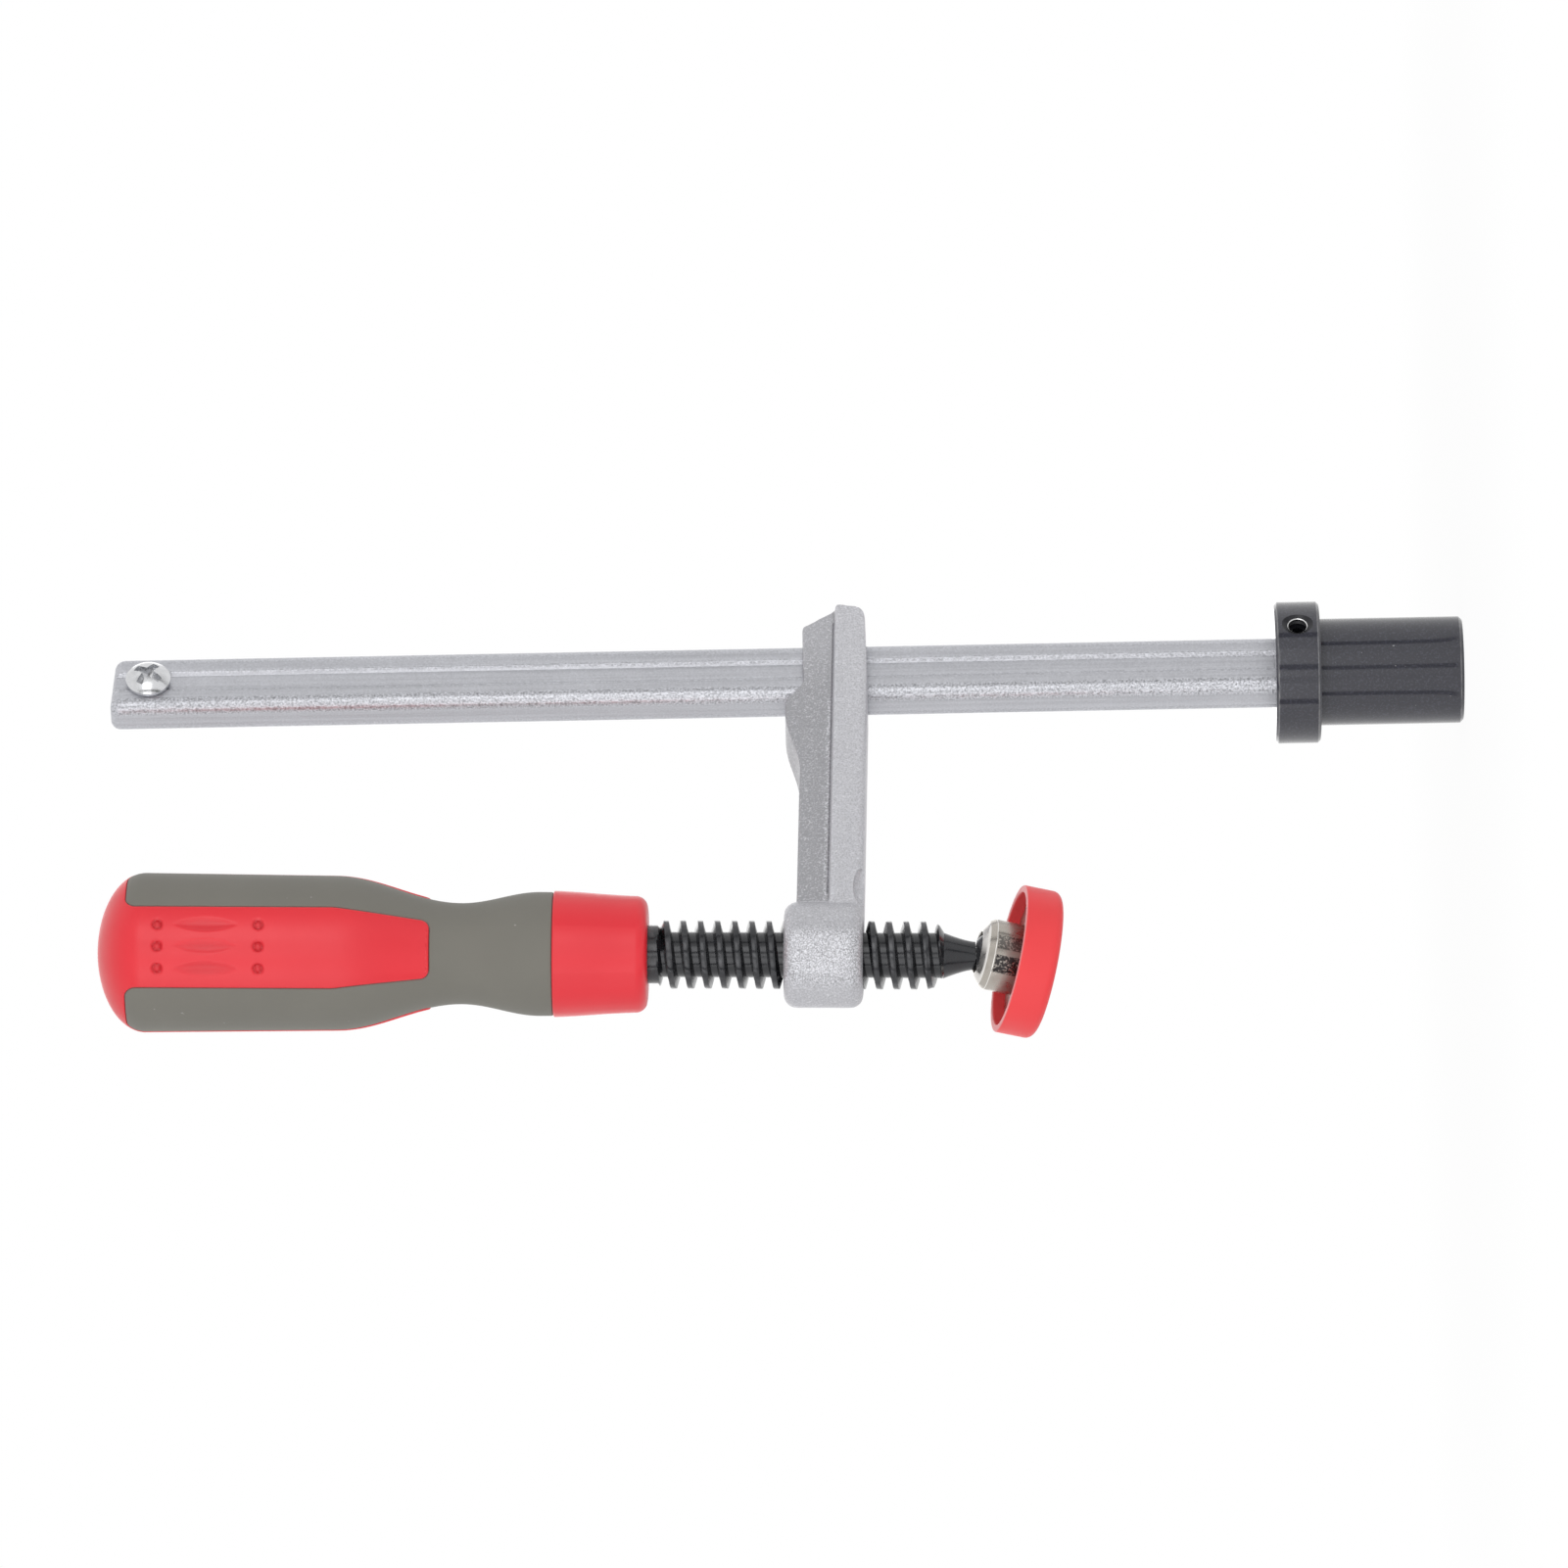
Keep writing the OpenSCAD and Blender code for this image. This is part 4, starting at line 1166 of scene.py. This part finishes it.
def build_core(sizes, colours):
    """Red core of the handle: front section, three raised panels with their ornament, and the dome."""
    fine, lip, margin = 0.2 * MM, PANEL_LIP[-1], 0.1 * MM
    corner_at, ornament_start = sizes.panel_at + sizes.panel_corner, sizes.ornament_at - 11 * MM
    rows = stations((0, sizes.front_round, 0.15 * MM), (sizes.front_round, sizes.front_length - lip, 1 * MM),
                    (sizes.front_length + margin, sizes.panel_at - margin, 1.5 * MM),
                    (sizes.panel_at + lip, corner_at, fine), (corner_at, ornament_start, 0.9 * MM),
                    (ornament_start, sizes.finger_end - margin, fine))
    for depth in (-PANEL_FOOT, *PANEL_LIP):
        rows += [sizes.front_length - depth, sizes.panel_at + depth, sizes.finger_end + depth]
    steps = 48
    domed = [sizes.whole - sizes.dome + sizes.dome * math.sin(math.pi / 2 * i / steps) for i in range(steps)]
    rows += [s for s in domed if s > sizes.finger_end + 0.5 * MM]
    rows.sort()
    points, shades = [], []

    def add_ring(s, radius=None):
        for panel in range(PANELS):
            middle = sizes.turned - math.pi / 2 + panel * SECTOR
            for angle in core_turns(sizes, s):
                reach, shade = core_reach(sizes, angle, s) if radius is None else (radius, 0.0)
                points.append((reach * math.cos(middle + angle), reach * math.sin(middle + angle), s))
                shades.append(shade)

    add_ring(sizes.front_round * 2, sizes.bore / 2)
    add_ring(0.0, sizes.bore / 2)
    for s in rows:
        add_ring(s)
    rings = len(rows) + 2
    count = len(points) // rings
    points.append((0, 0, sizes.whole))
    shades.append(0.0)
    faces = [quad(ring, i, count) for ring in range(rings - 1) for i in range(count)]
    last = (rings - 1) * count
    faces += [(last + i, last + (i + 1) % count, len(points) - 1) for i in range(count)]
    faces.append(tuple(range(count))[::-1])
    piece = add_piece("handle_red_core", points, faces)
    mark_points(piece, "sunk", shades)
    smooth(piece, 50)
    piece.data.transform(ON_SPINDLE @ Matrix.Translation((0, 0, sizes.rise)))
    dress(piece, "spindle", "handle_core", red_finish("red_plastic", colours.red, 0.36))


def core_reach(sizes, angle, s):
    """Radius of the red core, sunk under the grip, rounded at the panels' edges and ornamented, and its painted shade.
    """
    skin = handle_radius(sizes, s) - rounding(s, sizes.front_round)
    depth = grip_depth(sizes, angle, s)
    if depth > 0:
        return skin - sizes.grip_thickness, 0.0
    height, shade = ornament(sizes, angle, s)
    return skin - rounding(-depth, sizes.panel_edge) + height, shade


def grip_turns(sizes, s):
    """Angles of one sector's columns for the grip, and where those over the panel start and end."""
    radius = handle_radius(sizes, s)
    edge = panel_edge_turn(sizes, s) + sizes.grip_gap / radius
    lips = [depth / radius for depth in GRIP_LIP]
    inner = edge + lips[-1]
    count = 9
    strip = [-edge + 2 * edge * i / count for i in range(1, count)]
    rest = [inner + (SECTOR / 2 - inner) * i / count for i in range(1, count + 1)]
    side = [edge + lip for lip in lips]
    left = [-angle for angle in reversed(side + rest)]
    return left + strip + side + rest[:-1], (len(left) - 1, len(left) + len(strip))


def build_grip(sizes, colours):
    """Soft grip: a sleeve at the waist with three fingers, as a closed layer with rounded edges."""
    start, end = sizes.front_length + sizes.grip_gap, sizes.finger_end - sizes.grip_gap
    panel_front = sizes.panel_at - sizes.grip_gap
    corner_at, flare_at = sizes.panel_at + sizes.panel_corner, sizes.finger_end - sizes.finger_round
    fine, coarse, lip, flush_share = 0.15 * MM, 0.8 * MM, GRIP_LIP[-1], 0.76
    rows = stations((start + lip, panel_front - lip, coarse), (sizes.panel_at, corner_at, fine),
                    (corner_at, flare_at, coarse), (flare_at, end - lip, fine))
    for depth in GRIP_LIP[:-1]:
        rows += [start + depth, end - depth, panel_front - depth]
    rows.sort()
    outer, inner = [], []
    for s in rows:
        skin = handle_radius(sizes, s)
        flush = min(max((s - sizes.palm_at) / sizes.grip_rise + 1, 0), 1)
        sink = sizes.grip_sink * (1 - flush_share * flush)
        for panel in range(PANELS):
            middle = sizes.turned - math.pi / 2 + panel * SECTOR
            angles, bare = grip_turns(sizes, s)
            for angle in angles:
                depth = grip_depth(sizes, angle, s) - sizes.grip_gap
                x, y = math.cos(middle + angle), math.sin(middle + angle)
                for layer, reach in ((outer, skin - sink - rounding(depth, sizes.grip_edge)),
                                     (inner, skin - sizes.grip_thickness)):
                    layer.append((reach * x, reach * y, s))
    columns = len(outer) // len(rows)
    sector = columns // PANELS
    faces = []
    for ring, s in enumerate(rows[:-1]):
        for i in range(columns):
            if s <= panel_front - TINY or not bare[0] <= i % sector < bare[1]:
                faces.append(quad(ring, i, columns))
    # The inner layer mirrors the outer one, and a wall joins them along each edge that only one face has
    edges = dict.fromkeys(edge for loop in faces for edge in zip(loop, loop[1:] + loop[:1]))
    total = len(outer)
    faces += [tuple(total + index for index in reversed(loop)) for loop in faces]
    faces += [(b, a, total + a, total + b) for a, b in edges if (b, a) not in edges]
    used = sorted({index for loop in faces for index in loop})
    renumbered = {index: number for number, index in enumerate(used)}
    points = outer + inner
    piece = add_piece("handle_soft_grip", [points[index] for index in used],
                      [tuple(renumbered[index] for index in loop) for loop in faces])
    smooth(piece, 50)
    piece.data.transform(ON_SPINDLE @ Matrix.Translation((0, 0, sizes.rise)))
    dress(piece, "spindle", "handle_grip", grey_finish(colours))


# Pad

def build_plate(sizes, colours):
    """Pressure plate with the ball socket closed over the ball."""
    back = -sizes.face + sizes.cap_floor + sizes.plate
    front = -sizes.face + sizes.cap_floor
    outer = sizes.cap / 2 - sizes.cap_wall - sizes.plate_gap
    socket, rim_edge = sizes.socket / 2, sizes.mouth + sizes.rim_width
    bulge = ((socket + sizes.mouth + sizes.rim_width) / 2 + sizes.bulge, (sizes.shoulder + sizes.rim) / 2 + sizes.bulge)
    bulge_round, mouth_depth = 1.2 * MM, 0.6 * MM
    profile = rounded([(0, front, 0), (outer, front, 0.2 * MM), (outer, back, 0.4 * MM), (socket, back, 0.4 * MM),
                       (socket, sizes.shoulder, 0.18 * MM), (*bulge, bulge_round), (rim_edge, sizes.rim, 0.3 * MM),
                       (sizes.mouth, sizes.rim, 0.2 * MM), (sizes.mouth, sizes.rim - mouth_depth, 0)])
    widest = math.sqrt(sizes.cavity ** 2 - sizes.mouth ** 2)
    first = math.atan2(widest, sizes.mouth)
    steps = 16
    for step in range(steps + 1):
        angle = first - (first + math.pi / 2) * step / steps
        profile.append((sizes.cavity * max(math.cos(angle), 0), sizes.cavity * math.sin(angle), 0))
    piece = lathe("pad_plate_socket", profile, 180)
    mark_reflection_bands(piece, sizes)
    smooth(piece)
    piece.data.transform(ON_PAD)
    dress(piece, "pad", "pad_plate", nickel_finish(colours))


def mark_reflection_bands(piece, sizes):
    """Marks the bands of painted dark reflections on the socket's straight side."""
    below, near = 0.1 * MM, 0.2 * MM
    marks = []
    for point in piece.data.vertices:
        x, y, z = point.co
        angle = math.degrees(math.remainder(math.atan2(y, x) - sizes.reflection_band_turn, 2 * math.pi))
        side = z < sizes.shoulder - below and abs(math.hypot(x, y) - sizes.socket / 2) < near
        marks.append(max([share for low, high, share in REFLECTION_BANDS if side and low < angle < high], default=0.0))
    mark_points(piece, "reflection_band", marks)


def build_cap(sizes, colours):
    """Red push-on cap, a cup with a round edge and a thin lip."""
    outer, floor = sizes.cap / 2, -sizes.face + sizes.cap_floor
    inner, rim = outer - sizes.cap_wall, -sizes.face + sizes.cap_depth
    lip, pale = 0.35 * MM, 0.15 * MM
    profile = rounded([(0, -sizes.face, 0), (outer, -sizes.face, sizes.cap_edge), (outer, rim, lip),
                       (inner, rim, lip), (inner, floor, 0.2 * MM), (0, floor, 0)], steps=8)
    # The points within pale of the rim's top carry the painted highlight
    profile = [(radius, height, height > rim - pale) for radius, height, _ in profile]
    piece = lathe("pad_red_cap", profile, 128)
    smooth(piece)
    piece.data.transform(ON_PAD)
    dress(piece, "pad", "pad_cap", red_finish("red_cap", colours.cap_red, 0.45))


# Stage

def stage_direction(stage, degrees):
    """Level direction turned by an angle from the camera's side towards the bottom of the picture."""
    toward = Vector((-math.sin(stage.view_turn), -math.cos(stage.view_turn), 0))
    return Matrix.Rotation(math.radians(-degrees), 3, "Z") @ toward


def build_camera(stage):
    """Camera level with the bench, looking at the rail from the stop screw's side, with the post to the right."""
    toward = stage_direction(stage, 0)
    right = Vector((0, 0, -1))
    up = toward.cross(right)
    roll = Matrix.Rotation(-stage.roll, 3, toward)
    aim = up * stage.aim_across + Vector((0, 0, stage.aim_along))
    data = bpy.data.cameras.new("camera")
    data.sensor_width = 36
    data.lens = stage.focal
    camera = bpy.data.objects.new("camera", data)
    basis = Matrix((roll @ right, roll @ up, toward)).transposed().to_4x4()
    camera.matrix_world = Matrix.Translation(aim + toward * stage.distance) @ basis
    bpy.context.scene.collection.objects.link(camera)
    bpy.context.scene.camera = camera


def seen_white(tree, plain, white, share):
    """Shader that shows a share of white to the camera and to reflections, and a plain one to light."""
    rays = tree.nodes.new("ShaderNodeLightPath").outputs
    seen = rays["Is Camera Ray"]
    for ray in ("Is Glossy Ray", "Is Transmission Ray"):
        seen = add_node(tree, "ShaderNodeMath", {0: seen, 1: rays[ray]}, operation="MAXIMUM").outputs[0]
    part = add_node(tree, "ShaderNodeMath", {0: seen, 1: share}, operation="MULTIPLY").outputs[0]
    return add_node(tree, "ShaderNodeMixShader", {0: part, 1: plain, 2: white}).outputs[0]


def build_floor(stage):
    """White floor under the post, which keeps a soft shadow."""
    half, height = 30.0, CAD_BOX[0][2]
    floor = add_piece("floor", [(-half, -half, height), (half, -half, height), (half, half, height),
                                (-half, half, height)], [(0, 1, 2, 3)])
    finish = Finish("white_floor", (0.9, 0.9, 0.9), 0.9, Specular_IOR_Level=0.0)
    away = finish.node("ShaderNodeVectorMath", {0: finish.place}, operation="LENGTH").outputs["Value"]
    fade = finish.node("ShaderNodeMapRange", {
        "Value": away, "From Min": stage.shadow_reach / 4, "From Max": stage.shadow_reach,
        "To Min": stage.floor_white, "To Max": 1.0}, interpolation_type="SMOOTHSTEP").outputs["Result"]
    white = finish.node("ShaderNodeEmission").outputs[0]
    mixed = seen_white(finish.tree, finish.shader.outputs[0], white, fade)
    finish.tree.links.new(mixed, finish.tree.nodes["Material Output"].inputs["Surface"])
    floor.data.materials.append(finish.material)


def build_world(stage):
    """White surroundings that light the clamp at a plain level."""
    world = bpy.data.worlds.new("studio")
    world.use_nodes = True
    bpy.context.scene.world = world
    tree = world.node_tree
    plain = tree.nodes["Background"]
    plain.inputs["Color"].default_value = (1, 1, 1, 1)
    plain.inputs["Strength"].default_value = stage.ambient
    white = add_node(tree, "ShaderNodeBackground", {"Color": (1, 1, 1, 1), "Strength": 1.0})
    mixed = seen_white(tree, plain.outputs[0], white.outputs[0], 1.0)
    tree.links.new(mixed, tree.nodes["World Output"].inputs["Surface"])


def build_softbox(stage, name, degrees, width, level):
    """Tall softbox at an angle from the camera's side, facing the rail."""
    data = bpy.data.lights.new(name, "AREA")
    data.shape = "RECTANGLE"
    data.size = width
    data.size_y = stage.box_height
    data.energy = level * math.pi * data.size * data.size_y
    light = bpy.data.objects.new(name, data)
    away = stage_direction(stage, degrees)
    middle = Vector((0, 0, CAD_BOX[1][2] / 2))
    up = Vector((0, 0, 1))
    basis = Matrix((up.cross(away), up, away)).transposed().to_4x4()
    light.matrix_world = Matrix.Translation(middle + away * stage.box_distance) @ basis
    light.visible_camera = False
    bpy.context.scene.collection.objects.link(light)


def build_card(stage, name, degrees):
    """Black card that only reflections see: a wedge on the floor from the post outwards, then a tall strip."""
    away = stage_direction(stage, degrees)
    across = Vector((-away.y, away.x, 0)) * math.tan(math.radians(CARD_SPREAD / 2))
    floor, far = Vector((0, 0, CAD_BOX[0][2] + CARD_LIFT)), stage.box_distance * CARD_REACH
    points = []
    for distance, height in ((CARD_START, 0), (far, 0), (far, stage.box_height)):
        middle = floor + away * distance + Vector((0, 0, height))
        points += [middle - across * distance, middle + across * distance]
    card = add_piece(name, points, [(0, 1, 3, 2), (2, 3, 5, 4)])
    card.data.materials.append(Finish("black_card", (0.01, 0.01, 0.01), 0.5).material)
    card.visible_camera = False
    card.visible_diffuse = False
    card.visible_shadow = False


# Operators

class ClampOperator:
    """What the clamp's operators share."""
    bl_options = {"REGISTER"}

    @staticmethod
    def colours(context):
        return context.scene.clamp_colours


class CLAMP_OT_camera(ClampOperator, Operator):
    """Place the camera at the photograph's view"""
    bl_idname = "clamp.camera"
    bl_label = "Camera"

    def execute(self, context):
        build_camera(context.scene.clamp_stage)
        return {"FINISHED"}


class CLAMP_OT_rail(ClampOperator, Operator):
    """Build the fluted rail and its stop screw"""
    bl_idname = "clamp.rail"
    bl_label = "Rail and stop screw"

    def execute(self, context):
        build_rail(context.scene.clamp_rail, self.colours(context))
        build_stop_screw(context.scene.clamp_rail, self.colours(context))
        return {"FINISHED"}


class CLAMP_OT_post(ClampOperator, Operator):
    """Build the bench post and finish its set screw"""
    bl_idname = "clamp.post"
    bl_label = "Bench post"

    def execute(self, context):
        scene = context.scene
        build_post(scene.clamp_post, scene.clamp_rail, self.colours(context))
        refinish("post_set_screw", black_screw_finish(self.colours(context)))
        return {"FINISHED"}


class CLAMP_OT_arm(ClampOperator, Operator):
    """Build the sliding arm"""
    bl_idname = "clamp.arm"
    bl_label = "Sliding arm"

    def execute(self, context):
        build_arm(context.scene.clamp_arm, self.colours(context))
        return {"FINISHED"}


class CLAMP_OT_spindle(ClampOperator, Operator):
    """Build the threaded spindle and finish its ball"""
    bl_idname = "clamp.spindle"
    bl_label = "Spindle"

    def execute(self, context):
        build_spindle(context.scene.clamp_spindle, self.colours(context))
        refinish("spindle_ball", spindle_finish(self.colours(context)))
        return {"FINISHED"}


class CLAMP_OT_handle(ClampOperator, Operator):
    """Build the red core and the soft grip of the handle"""
    bl_idname = "clamp.handle"
    bl_label = "Handle"

    def execute(self, context):
        build_core(context.scene.clamp_handle, self.colours(context))
        build_grip(context.scene.clamp_handle, self.colours(context))
        return {"FINISHED"}


class CLAMP_OT_pad(ClampOperator, Operator):
    """Build the pressure plate and its red cap"""
    bl_idname = "clamp.pad"
    bl_label = "Pad"

    def execute(self, context):
        build_plate(context.scene.clamp_pad, self.colours(context))
        build_cap(context.scene.clamp_pad, self.colours(context))
        return {"FINISHED"}


class CLAMP_OT_stage(ClampOperator, Operator):
    """Set the floor, the surroundings and the lights"""
    bl_idname = "clamp.stage"
    bl_label = "Stage"

    def execute(self, context):
        stage = context.scene.clamp_stage
        context.scene.view_settings.view_transform = "Standard"
        build_floor(stage)
        build_world(stage)
        for name, (degrees, width, share) in SOFTBOXES.items():
            build_softbox(stage, name, degrees, width, stage.box_level * share)
        for number, degrees in enumerate(CARD_TURNS):
            build_card(stage, "card_%d" % number, degrees)
        return {"FINISHED"}


class CLAMP_PT_panel(Panel):
    """Lists the clamp's pieces and their sizes"""
    bl_idname = "CLAMP_PT_panel"
    bl_label = "Hold-down clamp"
    bl_space_type = "VIEW_3D"
    bl_region_type = "UI"
    bl_category = "Clamp"

    def draw(self, context):
        for operator in OPERATORS:
            self.layout.operator(operator.bl_idname)
        for name, group in GROUPS.items():
            column = self.layout.column()
            column.label(text=group.__doc__)
            for key in group.__annotations__:
                column.prop(getattr(context.scene, name), key)


GROUPS = {
    "clamp_rail": RailSizes,
    "clamp_post": PostSizes,
    "clamp_arm": ArmSizes,
    "clamp_spindle": SpindleSizes,
    "clamp_handle": HandleSizes,
    "clamp_pad": PadSizes,
    "clamp_colours": FinishColours,
    "clamp_stage": StageSettings,
}
OPERATORS = (CLAMP_OT_camera, CLAMP_OT_rail, CLAMP_OT_post, CLAMP_OT_arm, CLAMP_OT_spindle, CLAMP_OT_handle,
             CLAMP_OT_pad, CLAMP_OT_stage)


def register():
    for cls in (*GROUPS.values(), *OPERATORS, CLAMP_PT_panel):
        bpy.utils.register_class(cls)
    for name, group in GROUPS.items():
        setattr(bpy.types.Scene, name, PointerProperty(type=group))


def unregister():
    for name in GROUPS:
        delattr(bpy.types.Scene, name)
    for cls in (CLAMP_PT_panel, *reversed(OPERATORS), *reversed(GROUPS.values())):
        bpy.utils.unregister_class(cls)


def main():
    register()
    bpy.ops.clamp.camera()
    bpy.ops.clamp.rail()
    bpy.ops.clamp.post()
    bpy.ops.clamp.arm()
    bpy.ops.clamp.spindle()
    bpy.ops.clamp.handle()
    bpy.ops.clamp.pad()
    bpy.ops.clamp.stage()


if __name__ == "__main__":
    main()
